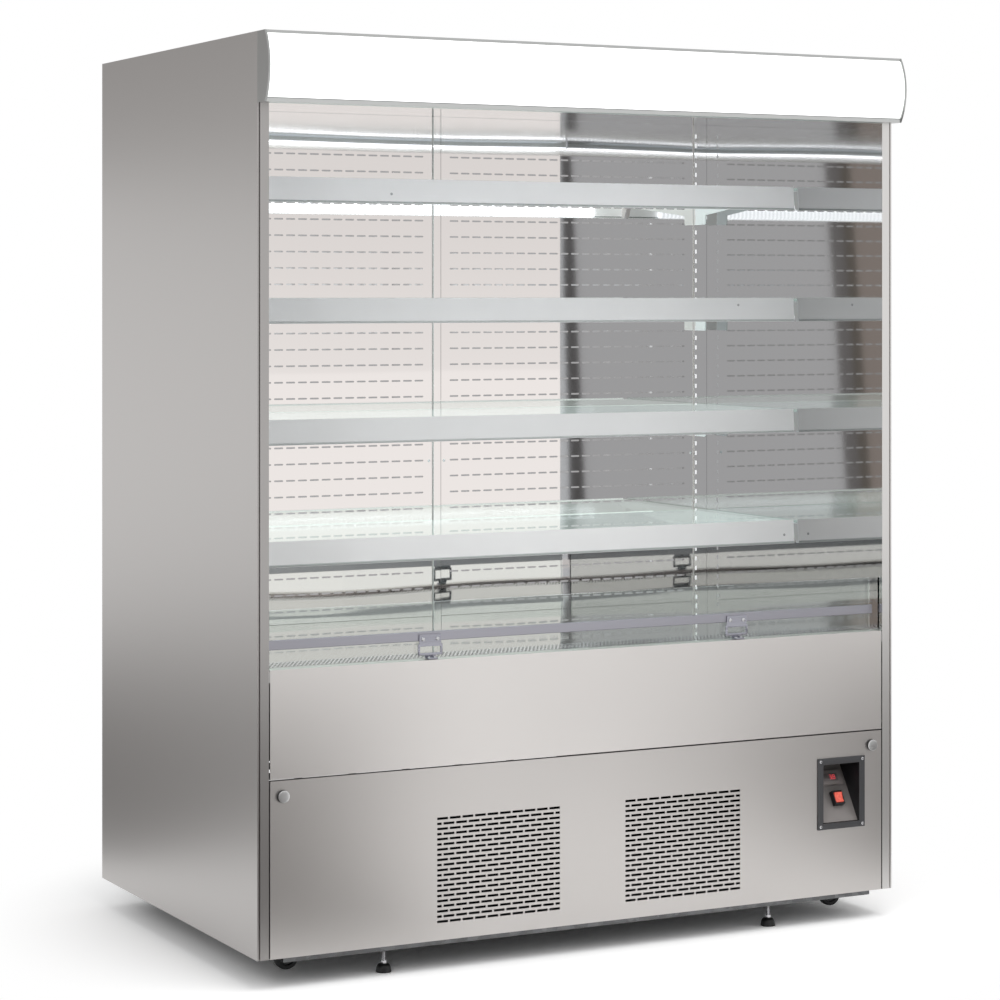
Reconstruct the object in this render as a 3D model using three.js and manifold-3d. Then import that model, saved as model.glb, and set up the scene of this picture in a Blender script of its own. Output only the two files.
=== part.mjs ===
// Open multideck display fridge: an open-front cabinet with four lit shelves above a well,
// a lit canopy across the top and a machine bay behind a lift-off service panel.
// Millimetres. +X is the right-hand side seen from the front, +Y goes to the back, +Z is up.
// The shapes are drawn from the middle of the body's front face, at the body's underside;
// the last group moves them so that the origin is on the floor, under the middle.

import * as THREE from 'three';
import { mergeGeometries, mergeVertices } from 'three/addons/utils/BufferGeometryUtils.js';
import Module from 'manifold-3d';

const wasm = await Module();
wasm.setup();

// Clearances
const SEAT_GAP = 0.3;
const TURNING_GAP = 0.5;
const HOOK_CLEARANCE = 2;

// Body, without canopy and feet
const BODY_WIDTH = 1524;
const BODY_DEPTH = 915;
const BODY_HEIGHT = 1845;
const GROUND_CLEARANCE = 62;
const SHEET = 2;

// Side walls: a foamed slab whose front pillar is set off from the outer skin by a groove
const WALL_THICKNESS = 25;
const WALL_SKIN = 3;
const WALL_GROOVE_WIDTH = 3;
const WALL_GROOVE_DEPTH = 6;

// Foamed back, well and roof
const BACK_THICKNESS = 55;
const WELL_FLOOR_THICKNESS = 40;
const WELL_FRONT_THICKNESS = 36;
const MACHINE_BAY_HEIGHT = 395;
const ROOF_THICKNESS = 107;

// Display space
const DISPLAY_DEPTH = 748;
const WELL_RIM_HEIGHT = 575;
const DECK_DROP = 4;
const DECK_EDGE = 16;

// Front panels
const SERVICE_PANEL_HEIGHT = 354;
const PANEL_SEAM = 3;
const PANEL_SIDE_GAP = 2.5;
const PANEL_RETURN = 14;

// Slotted vent grilles in the service panel: rows of round-ended slots, every other row
// moved by half a pitch and closed with a half slot at both ends
const VENT_OFFSET = 222;
const VENT_BOTTOM = 35.5;
const VENT_ROWS = 21;
const VENT_COLUMNS = 10;
const VENT_SLOT_LENGTH = 25;
const VENT_SLOT_HEIGHT = 5;
const VENT_WEB = 4;
const VENT_ROW_PITCH = 10.55;

// Rear cover of the machine bay, with rows of air slots
const REAR_SLOT_ROWS = 8;
const REAR_SLOT_COLUMNS = 6;
const REAR_SLOT_LENGTH = 120;
const REAR_SLOT_HEIGHT = 8;
const REAR_SLOT_WEB = 20;
const REAR_ROW_PITCH = 24;
const REAR_SLOT_BOTTOM = 110;

// Quarter-turn knobs
const KNOB_INSET = 55;
const KNOB_DROP = 31;
const KNOB_RADIUS = 12.5;
const KNOB_DEPTH = 8;
const KNOB_SHAFT_RADIUS = 4;
const KNOB_TONGUE_LENGTH = 18;
const KNOB_TONGUE_WIDTH = 9;
const KNOB_REACH = 9;

// Control recess
const CONTROL_INSET = 135.2;
const BEZEL_WIDTH = 124;
const BEZEL_HEIGHT = 157;
const BEZEL_BORDER = 13;
const BEZEL_THICKNESS = 3;
const BEZEL_BOTTOM = 145;
const BEZEL_SCREW_INSET = 7;
const BEZEL_SCREW_RADIUS = 2.7;
const CONTROL_BOX_DEPTH = 92;
const CONTROL_BOX_WALL = 1.5;
const CONTROL_PLATE_THICKNESS = 2;
const CONTROL_PLATE_RISE = 4;
const THERMOSTAT_WIDTH = 74;
const THERMOSTAT_HEIGHT = 34;
const THERMOSTAT_FACE_DEPTH = 9;
const THERMOSTAT_BODY_DEPTH = 26;
const THERMOSTAT_BORDER = 2.5;
const THERMOSTAT_PLACE = 101;
const ROCKER_OFFSET = 8;
const ROCKER_PLACE = 52;
const ROCKER_HOUSING_WIDTH = 26;
const ROCKER_HOUSING_HEIGHT = 32;
const ROCKER_HOUSING_FACE_DEPTH = 13;
const ROCKER_HOUSING_BODY_DEPTH = 10;
const ROCKER_HOUSING_WALL = 3;
const ROCKER_HALF_HEIGHT = 11.5;
const ROCKER_AXLE_DEPTH = 6;
const ROCKER_BACK = 4;
const ROCKER_REST_TILT = 9;

// Slotted uprights at the walls, back panels and the strip that joins them
const UPRIGHT_WIDTH = 35;
const LADDER_INSET = 5;
const STRIP_WIDTH = 22;
const UPRIGHT_DEPTH = 14;
const UPRIGHT_STEP = 4;
const BACK_PANEL_TUCK = 18;

// Shelves
const SHELF_COUNT = 4;
const TOP_SHELF_DROP = 165;
const LOWEST_SHELF_RISE = 226.5;
const SHELF_FRONT = 349;
const SHELF_END_GAP = 6;
const RAIL_HEIGHT = 54.5;
const RAIL_LEAN = 5;
const RAIL_SHEET = 2.4;
const RAIL_FOOT = 13;
const RAIL_LEDGE = 30;
const GLASS_THICKNESS = 6;
const GLASS_DROP = 2;
const GLASS_BACK_GAP = 5;
const BRACKET_THICKNESS = 2.5;
const BRACKET_REAR_HEIGHT = 49;
const BRACKET_TAB_DEPTH = 45;
const BRACKET_FRONT_HEIGHT = 20;
const HOOK_HEIGHT = 6;
const HOOK_DEPTH = 11;
const HOOK_DROP = 16.6;
const HOOK_INSET = 2.2;
const HOOK_PITCH = 47;
const SHELF_LAMP_HEIGHT = 24;
const SHELF_LAMP_DEPTH = 15;
const SHELF_LAMP_END_GAP = 93;

// Ceiling
const OUTLET_END_GAP = 47;
const OUTLET_DEPTH = 64;
const OUTLET_HEIGHT = 24;
const OUTLET_SETBACK = 52;
const OUTLET_CELLS = 14;
const OUTLET_BAR = 6;
const CEILING_LAMP_END_GAP = 3;
const CEILING_LAMP_DEPTH = 26;
const CEILING_LAMP_HEIGHT = 16;
const CEILING_LAMP_SETBACK = 14;

// Canopy
const CANOPY_HEIGHT = 142;
const CANOPY_REACH = 58;
const CANOPY_EDGE_REACH = 38;
const CANOPY_LIP = 8;
const CANOPY_TOP_LIP = 6;
const CANOPY_SHEET = 3;
const CANOPY_END_THICKNESS = 4;
const LENS_THICKNESS = 3;
const LENS_SETBACK = 0.8;

// Guard along the front of the well
const GUARD_SETBACK = 30;
const GUARD_GLASS_THICKNESS = 6;
const GUARD_GLASS_HEIGHT = 115;
const GUARD_END_GAP = 13;
const GUARD_RAIL_BOTTOM = 36;
const GUARD_RAIL_HEIGHT = 19.5;
const GUARD_RAIL_THICKNESS = 5;
const GUARD_RAIL_OVERRUN = 3;
const CLAMP_OFFSET = 370;
const CLAMP_THICKNESS = 3;
const CLAMP_PLATE_WIDTH = 50;
const CLAMP_PLATE_HEIGHT = 20;
const CLAMP_FRAME_WIDTH = 56;
const CLAMP_FRAME_HEIGHT = 23;
const CLAMP_FRAME_BORDER = 5;
const CLAMP_NECK_WIDTH = 22;
const CLAMP_NECK_HEIGHT = 7;
const CLAMP_FOOT_DEPTH = 14;
const CLAMP_SCREW_SPREAD = 33;
const CLAMP_SCREW_RADIUS = 4.2;
const FOOT_SCREW_SPREAD = 19;
const FOOT_SCREW_RADIUS = 3.2;

// Return-air grille
const RETURN_GRILLE_DEPTH = 104;
const RETURN_GRILLE_EDGE = 14;
const RETURN_SLOT_ROWS = 2;
const RETURN_SLOT_COLUMNS = 12;
const RETURN_SLOT_HEIGHT = 22;
const RETURN_SLOT_WEB = 14;

// Base tray, feet and castors
const TRAY_HEIGHT = 25;
const TRAY_THICKNESS = 5;
const TRAY_LIP = 9;
const TRAY_LIP_SHEET = 3;
const TRAY_END_GAP = 33;
const FOOT_INSET = 297;
const FOOT_SETBACK = 45;
const FOOT_CUP_RADIUS = 17;
const FOOT_CUP_HEIGHT = 13;
const FOOT_NUT_RADIUS = 7;
const FOOT_NUT_HEIGHT = 6;
const FOOT_STUD_RADIUS = 4.5;
const FOOT_STUD_TOP = 48;
const CASTOR_INSET = 116;
const CASTOR_SETBACK = 96;
const CASTOR_LIFT = 16;
const WHEEL_RADIUS = 25;
const WHEEL_WIDTH = 18;
const WHEEL_EDGE = 2.5;
const AXLE_RADIUS = 4;
const CASTOR_TRAIL = 14;
const FORK_SHEET = 2.5;
const FORK_CROWN_RADIUS = 16;
const FORK_CHEEK_HALF = 8;
const SWIVEL_PAD = 3;
const SWIVEL_PAD_SIDE = 58;

// Machinery
const CONDENSER_WIDTH = 400;
const CONDENSER_HEIGHT = 250;
const CONDENSER_DEPTH = 66;
const CONDENSER_SETBACK = 70;
const CONDENSER_FINS = 9;
const SHROUD_DEPTH = 60;
const FAN_RADIUS = 108;
const FAN_TIP_GAP = 6;
const FAN_HUB_RADIUS = 26;
const FAN_HUB_LENGTH = 18;
const FAN_BLADES = 5;
const FAN_BLADE_CHORD = 52;
const FAN_PITCH = 24;
const MOTOR_RADIUS = 34;
const MOTOR_LENGTH = 52;
const MOTOR_ARM_WIDTH = 12;
const COMPRESSOR_RADIUS = 88;
const COMPRESSOR_HEIGHT = 205;
const COMPRESSOR_SEAM_HEIGHT = 92;
const COMPRESSOR_SEAM_BAND = 8;
const COMPRESSOR_INSET = 332;
const COMPRESSOR_SETBACK = 520;
const COMPRESSOR_FOOT = 210;
const COMPRESSOR_FOOT_HEIGHT = 16;
const COIL_END_GAP = 157;
const COIL_HEIGHT = 84;
const COIL_DEPTH = 150;
const COIL_SETBACK = 500;
const COIL_FINS = 10;
const COIL_LEG = 10;
const COIL_PLATE_HEIGHT = 112;
const COIL_FAN_RADIUS = 44;
const COIL_FAN_AHEAD = 120;

// Worked-out places that several pieces share
const halfWidth = BODY_WIDTH / 2;
const innerHalf = halfWidth - WALL_THICKNESS;
const fitHalf = innerHalf - SEAT_GAP;
const ceilingHeight = BODY_HEIGHT - ROOF_THICKNESS;
const outletHalf = innerHalf - OUTLET_END_GAP;
const canopyBottom = BODY_HEIGHT - CANOPY_HEIGHT;
const wellFloorTop = MACHINE_BAY_HEIGHT + WELL_FLOOR_THICKNESS;
const rimTop = WELL_RIM_HEIGHT;
const wellFrontInner = SHEET + SEAT_GAP + WELL_FRONT_THICKNESS;
const deckTop = WELL_RIM_HEIGHT - DECK_DROP;
const uprightFace = DISPLAY_DEPTH - UPRIGHT_STEP;
const grilleFront = wellFrontInner + SEAT_GAP;
const grilleBack = grilleFront + RETURN_GRILLE_DEPTH;
const trayTop = TRAY_HEIGHT + TRAY_THICKNESS;
const controlCentre = halfWidth - CONTROL_INSET;
const bezelLeft = controlCentre - BEZEL_WIDTH / 2;
const bezelTop = BEZEL_BOTTOM + BEZEL_HEIGHT;
const recessBottom = BEZEL_BOTTOM + BEZEL_BORDER;
const recessTop = bezelTop - BEZEL_BORDER;
const recessHalf = BEZEL_WIDTH / 2 - BEZEL_BORDER;
const middleY = (BODY_DEPTH - CANOPY_REACH) / 2;

// ---------------------------------------------------------------- shape helpers

// A block between two corners.
function block(x0, x1, y0, y1, z0, z1) {
  const geometry = new THREE.BoxGeometry(x1 - x0, y1 - y0, z1 - z0);
  return geometry.translate((x0 + x1) / 2, (y0 + y1) / 2, (z0 + z1) / 2);
}

function outline(points) {
  return new THREE.Shape(points.map(([u, v]) => new THREE.Vector2(u, v)));
}

function extrude(shape, depth) {
  return new THREE.ExtrudeGeometry(shape, { depth, bevelEnabled: false, curveSegments: 8 });
}

// A side profile, given as [y, z] points, drawn out along X.
function acrossX(points, x0, x1) {
  const turn = new THREE.Matrix4().set(0, 0, 1, x0, 1, 0, 0, 0, 0, 1, 0, 0, 0, 0, 0, 1);
  return extrude(outline(points), x1 - x0).applyMatrix4(turn);
}

// A front view, as a shape in [x, z], drawn out along Y.
function alongY(shape, y0, y1) {
  return extrude(shape, y1 - y0).rotateX(Math.PI / 2).translate(0, y1, 0);
}

// A plan view, as a shape in [x, y], drawn out along Z.
function alongZ(shape, z0, z1) {
  return extrude(shape, z1 - z0).translate(0, 0, z0);
}

// A turned piece: [radius, height] points round a vertical axis.
function turned(points, segments) {
  const profile = points.map(([r, h]) => new THREE.Vector2(r, h));
  return new THREE.LatheGeometry(profile, segments).rotateX(Math.PI / 2);
}

// A turned piece whose axis points forward, with heights measured to the front.
function turnedForward(points, segments) {
  return turned(points, segments).rotateX(Math.PI / 2);
}

function bare(geometry) {
  const copy = geometry.index ? geometry.toNonIndexed() : geometry.clone();
  copy.deleteAttribute('normal');
  copy.deleteAttribute('uv');
  return copy;
}

function toSolid(geometry) {
  const welded = mergeVertices(bare(geometry), 1e-4);
  return new wasm.Manifold(new wasm.Mesh({
    numProp: 3,
    vertProperties: new Float32Array(welded.attributes.position.array),
    triVerts: new Uint32Array(welded.index.array),
  }));
}

function toGeometry(solid) {
  const { vertProperties, triVerts } = solid.getMesh();
  const geometry = new THREE.BufferGeometry();
  geometry.setAttribute('position', new THREE.BufferAttribute(new Float32Array(vertProperties), 3));
  geometry.setIndex(new THREE.BufferAttribute(new Uint32Array(triVerts), 1));
  geometry.computeVertexNormals();
  return geometry;
}

// Joins overlapping pieces into one body, then cuts holes out of it.
function fuse(geometries, cuts = []) {
  const joined = geometries.map(toSolid).reduce((sum, solid) => sum.add(solid));
  return toGeometry(cuts.map(toSolid).reduce((rest, cut) => rest.subtract(cut), joined));
}

// A round cutter along Y, for a hole in a front plate.
function bore(x, z, radius, y0, y1, segments) {
  return turnedForward([[0, -y1], [radius, -y1], [radius, -y0], [0, -y0]], segments).translate(x, 0, z);
}

// Cuts many separate openings out of a piece at once.
function pierce(geometry, cutters) {
  return fuse([geometry], [gather(cutters)]);
}

// Puts separate pieces side by side, to be cut out together.
function gather(geometries) {
  return mergeGeometries(geometries.map(bare));
}

// ---------------------------------------------------------------- materials and meshes

const finishes = {
  satinSteel: [0xa9a5a1, 0.38, 0.9],
  mirrorSteel: [0xc4c2c0, 0.14, 1.0],
  galvanised: [0x9aa0a3, 0.5, 0.85],
  paleRail: [0xd5d6d6, 0.45, 0.1],
  aluminium: [0xb4b3bd, 0.35, 0.9],
  chrome: [0xd0d0d0, 0.08, 1.0],
  clearGlass: [0xcfe9e2, 0.03, 0.0],
  litLens: [0xffffff, 0.5, 0.0],
  blackPlastic: [0x17171a, 0.45, 0.0],
  darkMetal: [0x2a2b2d, 0.5, 0.4],
  greyPlate: [0x87827e, 0.45, 0.6],
  redRocker: [0xe2403a, 0.3, 0.0],
  coil: [0x8e9496, 0.4, 0.9],
};

function named(name, geometry, finish) {
  const [color, roughness, metalness] = finishes[finish];
  const material = new THREE.MeshStandardMaterial({ color, roughness, metalness });
  const mesh = new THREE.Mesh(geometry, material);
  mesh.name = name;
  return mesh;
}

function placed(object, x, y, z) {
  object.position.set(x, y, z);
  return object;
}

// ---------------------------------------------------------------- cabinet

function sideWall(side) {
  const grooveOut = halfWidth - WALL_SKIN;
  const grooveIn = grooveOut - WALL_GROOVE_WIDTH;
  const plan = [
    [innerHalf, 0], [grooveIn, 0], [grooveIn, WALL_GROOVE_DEPTH], [grooveOut, WALL_GROOVE_DEPTH],
    [grooveOut, 0], [halfWidth, 0], [halfWidth, BODY_DEPTH], [innerHalf, BODY_DEPTH],
  ];
  return alongZ(outline(plan.map(([x, y]) => [side * x, y])), 0, BODY_HEIGHT);
}

// Back wall, well floor and the well's front wall are foamed in one piece.
function foamedBody() {
  const front = SHEET + SEAT_GAP;
  const back = BODY_DEPTH - BACK_THICKNESS;
  const top = ceilingHeight - SEAT_GAP;
  const rim = rimTop - SHEET - SEAT_GAP;
  const profile = [
    [front, MACHINE_BAY_HEIGHT], [BODY_DEPTH, MACHINE_BAY_HEIGHT], [BODY_DEPTH, top], [back, top],
    [back, wellFloorTop], [wellFrontInner, wellFloorTop], [wellFrontInner, rim], [front, rim],
  ];
  return acrossX(profile, -fitHalf, fitHalf);
}

// The roof has a pocket in its underside for the air outlet.
function roof() {
  const slab = block(-fitHalf, fitHalf, 0, BODY_DEPTH, ceilingHeight, BODY_HEIGHT);
  const half = outletHalf + SEAT_GAP;
  const front = OUTLET_SETBACK - SEAT_GAP;
  const back = OUTLET_SETBACK + OUTLET_DEPTH + SEAT_GAP;
  const pocketTop = ceilingHeight + OUTLET_HEIGHT + SEAT_GAP;
  return fuse([slab], [block(-half, half, front, back, ceilingHeight - 1, pocketTop)]);
}

function airOutlet() {
  const half = outletHalf;
  const front = OUTLET_SETBACK;
  const back = front + OUTLET_DEPTH;
  const top = ceilingHeight + OUTLET_HEIGHT;
  const pitch = (2 * half - OUTLET_BAR) / OUTLET_CELLS;
  const cells = Array.from({ length: OUTLET_CELLS }, (unused, cell) => {
    const left = -half + OUTLET_BAR + cell * pitch;
    return block(left, left + pitch - OUTLET_BAR, front + OUTLET_BAR, back - OUTLET_BAR,
      ceilingHeight - 1, top + 1);
  });
  return pierce(block(-half, half, front, back, ceilingHeight, top), cells);
}

function ceilingLamp() {
  const front = CEILING_LAMP_SETBACK;
  const back = front + CEILING_LAMP_DEPTH;
  const top = ceilingHeight - SEAT_GAP;
  const bottom = top - CEILING_LAMP_HEIGHT;
  const chamfer = CEILING_LAMP_HEIGHT / 3;
  const profile = [
    [front, top], [front, bottom + chamfer], [front + chamfer, bottom],
    [back - chamfer, bottom], [back, bottom + chamfer], [back, top],
  ];
  const half = innerHalf - CEILING_LAMP_END_GAP;
  return acrossX(profile, -half, half);
}

// The uprights stand against both walls; their slots and the shelf brackets are near the
// inner edge.
const uprightEdge = fitHalf - UPRIGHT_WIDTH;
const ladderPlace = uprightEdge + LADDER_INSET;

// The shelves share the height between the top one and the lowest one evenly.
function shelfTop(level) {
  const highest = ceilingHeight - TOP_SHELF_DROP;
  const lowest = deckTop + LOWEST_SHELF_RISE;
  return highest - (level * (highest - lowest)) / (SHELF_COUNT - 1);
}

function bracketTop(level) {
  return shelfTop(level) - GLASS_DROP - GLASS_THICKNESS - SEAT_GAP;
}

// Heights of the two hooks of a shelf bracket, as [bottom, top].
function hookSpans(level) {
  const top = bracketTop(level) - HOOK_DROP;
  return [top, top - HOOK_PITCH].map((high) => [high - HOOK_HEIGHT, high]);
}

function standingBar(left, right) {
  return block(left, right, uprightFace, uprightFace + UPRIGHT_DEPTH, wellFloorTop + SEAT_GAP,
    ceilingHeight - SEAT_GAP);
}

// An upright, with the slots that its shelf brackets hook into.
function upright(side) {
  const back = uprightFace + UPRIGHT_DEPTH;
  const slotHalf = (BRACKET_THICKNESS + HOOK_CLEARANCE) / 2;
  const [left, right] = side < 0 ? [-fitHalf, -uprightEdge] : [uprightEdge, fitHalf];
  const bar = standingBar(left, right);
  const x = side * ladderPlace;
  const slots = Array.from({ length: SHELF_COUNT }, (unused, level) => hookSpans(level)).flat();
  return pierce(bar, slots.map(([low, high]) => block(x - slotHalf, x + slotHalf,
    uprightFace - 1, back + 1, low - HOOK_CLEARANCE, high + HOOK_CLEARANCE)));
}

// The strip in the middle covers the joint of the two back panels.
function jointStrip() {
  return standingBar(-STRIP_WIDTH / 2, STRIP_WIDTH / 2);
}

// One back panel, with its lower edge turned back into the duct.
function backPanel(side) {
  const near = STRIP_WIDTH / 2 + SEAT_GAP;
  const far = uprightEdge - SEAT_GAP;
  const bottom = deckTop - BACK_PANEL_TUCK;
  const top = ceilingHeight - SEAT_GAP;
  const front = DISPLAY_DEPTH;
  const profile = [
    [front, bottom], [front + BACK_PANEL_TUCK, bottom], [front + BACK_PANEL_TUCK, bottom + SHEET],
    [front + SHEET, bottom + SHEET], [front + SHEET, top], [front, top],
  ];
  const [left, right] = side < 0 ? [-far, -near] : [near, far];
  return acrossX(profile, left, right);
}

function deckPan() {
  const front = grilleBack + SEAT_GAP;
  const back = uprightFace - SEAT_GAP;
  const low = deckTop - DECK_EDGE;
  const profile = [
    [front, low], [front + SHEET, low], [front + SHEET, deckTop - SHEET],
    [back - SHEET, deckTop - SHEET], [back - SHEET, low], [back, low],
    [back, deckTop], [front, deckTop],
  ];
  return acrossX(profile, -fitHalf, fitHalf);
}

function returnGrille() {
  const slotPitch = (2 * fitHalf - RETURN_SLOT_WEB) / RETURN_SLOT_COLUMNS;
  const rowPitch = RETURN_GRILLE_DEPTH / RETURN_SLOT_ROWS;
  const slots = [];
  for (let row = 0; row < RETURN_SLOT_ROWS; row += 1) {
    const middle = grilleFront + (row + 0.5) * rowPitch;
    for (let column = 0; column < RETURN_SLOT_COLUMNS; column += 1) {
      const left = -fitHalf + RETURN_SLOT_WEB + column * slotPitch;
      slots.push(block(left, left + slotPitch - RETURN_SLOT_WEB, middle - RETURN_SLOT_HEIGHT / 2,
        middle + RETURN_SLOT_HEIGHT / 2, deckTop - SHEET - 1, deckTop + 1));
    }
  }
  const low = deckTop - RETURN_GRILLE_EDGE;
  const channel = acrossX([
    [grilleFront, low], [grilleFront + SHEET, low], [grilleFront + SHEET, deckTop - SHEET],
    [grilleBack - SHEET, deckTop - SHEET], [grilleBack - SHEET, low], [grilleBack, low],
    [grilleBack, deckTop], [grilleFront, deckTop],
  ], -fitHalf, fitHalf);
  return pierce(channel, slots);
}

// The upper front panel covers the well's front wall and folds back over its rim.
function upperPanel() {
  const half = innerHalf - PANEL_SIDE_GAP;
  const bottom = SERVICE_PANEL_HEIGHT + PANEL_SEAM;
  const profile = [
    [0, bottom], [PANEL_RETURN, bottom], [PANEL_RETURN, bottom + SHEET],
    [SHEET, bottom + SHEET], [SHEET, rimTop - SHEET], [wellFrontInner, rimTop - SHEET],
    [wellFrontInner, rimTop], [0, rimTop],
  ];
  return acrossX(profile, -half, half);
}

// ---------------------------------------------------------------- canopy

function bulge(edge, top, bottom, reach, steps) {
  const halfChord = (top - bottom) / 2;
  const rise = reach - edge;
  const radius = (halfChord * halfChord + rise * rise) / (2 * rise);
  const middle = (top + bottom) / 2;
  const sweep = Math.asin(halfChord / radius);
  return Array.from({ length: steps + 1 }, (unused, step) => {
    const angle = sweep - (2 * sweep * step) / steps;
    return [-(reach - radius + radius * Math.cos(angle)), middle + radius * Math.sin(angle)];
  });
}

function canopyEnd(side) {
  const arc = bulge(CANOPY_EDGE_REACH, BODY_HEIGHT, canopyBottom, CANOPY_REACH, 10);
  const profile = [[-SEAT_GAP, BODY_HEIGHT], ...arc, [-SEAT_GAP, canopyBottom]];
  const inner = halfWidth - CANOPY_END_THICKNESS;
  const [left, right] = side < 0 ? [-halfWidth, -inner] : [inner, halfWidth];
  return acrossX(profile, left, right);
}

const lensTop = BODY_HEIGHT - CANOPY_TOP_LIP;
const lensBottom = canopyBottom + CANOPY_LIP;
const canopyHalf = halfWidth - CANOPY_END_THICKNESS;

// The housing is a channel, open to the front, with a plate over each end.
function canopyHousing() {
  const back = -SEAT_GAP;
  const inner = back - CANOPY_SHEET;
  const lip = -CANOPY_EDGE_REACH;
  const behindLens = lip + LENS_THICKNESS;
  const profile = [
    [back, canopyBottom], [back, BODY_HEIGHT], [lip, BODY_HEIGHT], [lip - 1, lensTop + SEAT_GAP],
    [behindLens, lensTop + SEAT_GAP], [behindLens, BODY_HEIGHT - CANOPY_SHEET],
    [inner, BODY_HEIGHT - CANOPY_SHEET], [inner, canopyBottom + CANOPY_SHEET],
    [behindLens, canopyBottom + CANOPY_SHEET], [behindLens, lensBottom - SEAT_GAP],
    [lip - 1.5, lensBottom - SEAT_GAP], [lip, canopyBottom],
  ];
  return fuse([acrossX(profile, -canopyHalf - 1, canopyHalf + 1), canopyEnd(-1), canopyEnd(1)]);
}

function canopyLens() {
  const reach = CANOPY_REACH - LENS_SETBACK;
  const outer = bulge(CANOPY_EDGE_REACH, lensTop, lensBottom, reach, 12);
  const inner = bulge(CANOPY_EDGE_REACH - LENS_THICKNESS, lensTop, lensBottom,
    reach - LENS_THICKNESS, 12);
  return acrossX([...outer, ...inner.reverse()], -canopyHalf + SEAT_GAP, canopyHalf - SEAT_GAP);
}

// ---------------------------------------------------------------- guard on the well's rim

const guardFront = GUARD_SETBACK;
const clampBack = guardFront - GUARD_RAIL_THICKNESS - 2 * SEAT_GAP;
const clampFront = clampBack - CLAMP_THICKNESS;
const rimSeat = rimTop + SEAT_GAP;

function guardGlass() {
  const half = innerHalf - GUARD_END_GAP;
  const back = guardFront + GUARD_GLASS_THICKNESS;
  return block(-half, half, guardFront, back, rimSeat, rimSeat + GUARD_GLASS_HEIGHT);
}

function guardRail() {
  const half = innerHalf - GUARD_END_GAP + GUARD_RAIL_OVERRUN;
  const back = guardFront - SEAT_GAP;
  const front = back - GUARD_RAIL_THICKNESS;
  const low = rimSeat + GUARD_RAIL_BOTTOM;
  const high = low + GUARD_RAIL_HEIGHT;
  const profile = [
    [back, low], [back, high], [front + 1, high], [front, high - 1], [front, low + 1], [front + 1, low],
  ];
  return acrossX(profile, -half, half);
}

// A clamp: foot plate on the rim, narrow neck, windowed frame and a plate over the rail,
// with two screws through the plate and two through the foot.
function guardClamp(x) {
  const neckTop = rimSeat + CLAMP_NECK_HEIGHT;
  const frameTop = neckTop + CLAMP_FRAME_HEIGHT;
  const plateTop = frameTop + CLAMP_PLATE_HEIGHT;
  const neck = CLAMP_NECK_WIDTH / 2;
  const frame = CLAMP_FRAME_WIDTH / 2;
  const plate = CLAMP_PLATE_WIDTH / 2;
  const shape = outline([
    [x - neck, rimSeat], [x + neck, rimSeat], [x + neck + 3, neckTop], [x + frame, neckTop],
    [x + frame, frameTop], [x + plate, frameTop], [x + plate, plateTop], [x - plate, plateTop],
    [x - plate, frameTop], [x - frame, frameTop], [x - frame, neckTop], [x - neck - 3, neckTop],
  ]);
  const windowHalf = frame - CLAMP_FRAME_BORDER;
  const window = block(x - windowHalf, x + windowHalf, clampFront - 1, clampBack + 1,
    neckTop + CLAMP_FRAME_BORDER, frameTop - CLAMP_FRAME_BORDER);
  const upright = alongY(shape, clampFront, clampBack);
  const foot = block(x - neck, x + neck, clampFront - CLAMP_FOOT_DEPTH, clampBack, rimSeat,
    rimSeat + CLAMP_THICKNESS);
  const screws = [-1, 1].flatMap((side) => [
    turnedForward(domeProfile(CLAMP_SCREW_RADIUS), 6).translate(x + side * CLAMP_SCREW_SPREAD / 2,
      clampFront, frameTop + CLAMP_PLATE_HEIGHT / 2),
    turned(domeProfile(FOOT_SCREW_RADIUS), 6).translate(x + side * FOOT_SCREW_SPREAD / 2,
      clampFront - CLAMP_FOOT_DEPTH / 2, rimSeat + CLAMP_THICKNESS),
  ]);
  return fuse([upright, foot, ...screws], [window]);
}

// A low screw head, let a little into what it holds.
function domeProfile(radius) {
  return [
    [0, -0.5], [radius, -0.5], [radius, radius * 0.25], [radius * 0.7, radius * 0.6],
    [0, radius * 0.75],
  ];
}

// ---------------------------------------------------------------- service panel

const panelHalf = innerHalf - PANEL_SIDE_GAP;
const knobHeight = SERVICE_PANEL_HEIGHT - KNOB_DROP;
const knobPlace = halfWidth - KNOB_INSET;

// Slots of one vent grille, as [left, right, bottom, top].
function ventSlots(centre) {
  const pitch = VENT_SLOT_LENGTH + VENT_WEB;
  const width = VENT_COLUMNS * pitch - VENT_WEB;
  const left = centre - width / 2;
  const slots = [];
  for (let row = 0; row < VENT_ROWS; row += 1) {
    const bottom = VENT_BOTTOM + row * VENT_ROW_PITCH;
    const shift = row % 2 === 0 ? 0 : pitch / 2;
    for (let column = -1; column < VENT_COLUMNS; column += 1) {
      const start = Math.max(left, left + column * pitch + shift);
      const end = Math.min(left + width, left + column * pitch + shift + VENT_SLOT_LENGTH);
      if (end - start > VENT_SLOT_HEIGHT) slots.push([start, end, bottom, bottom + VENT_SLOT_HEIGHT]);
    }
  }
  return slots;
}

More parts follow.
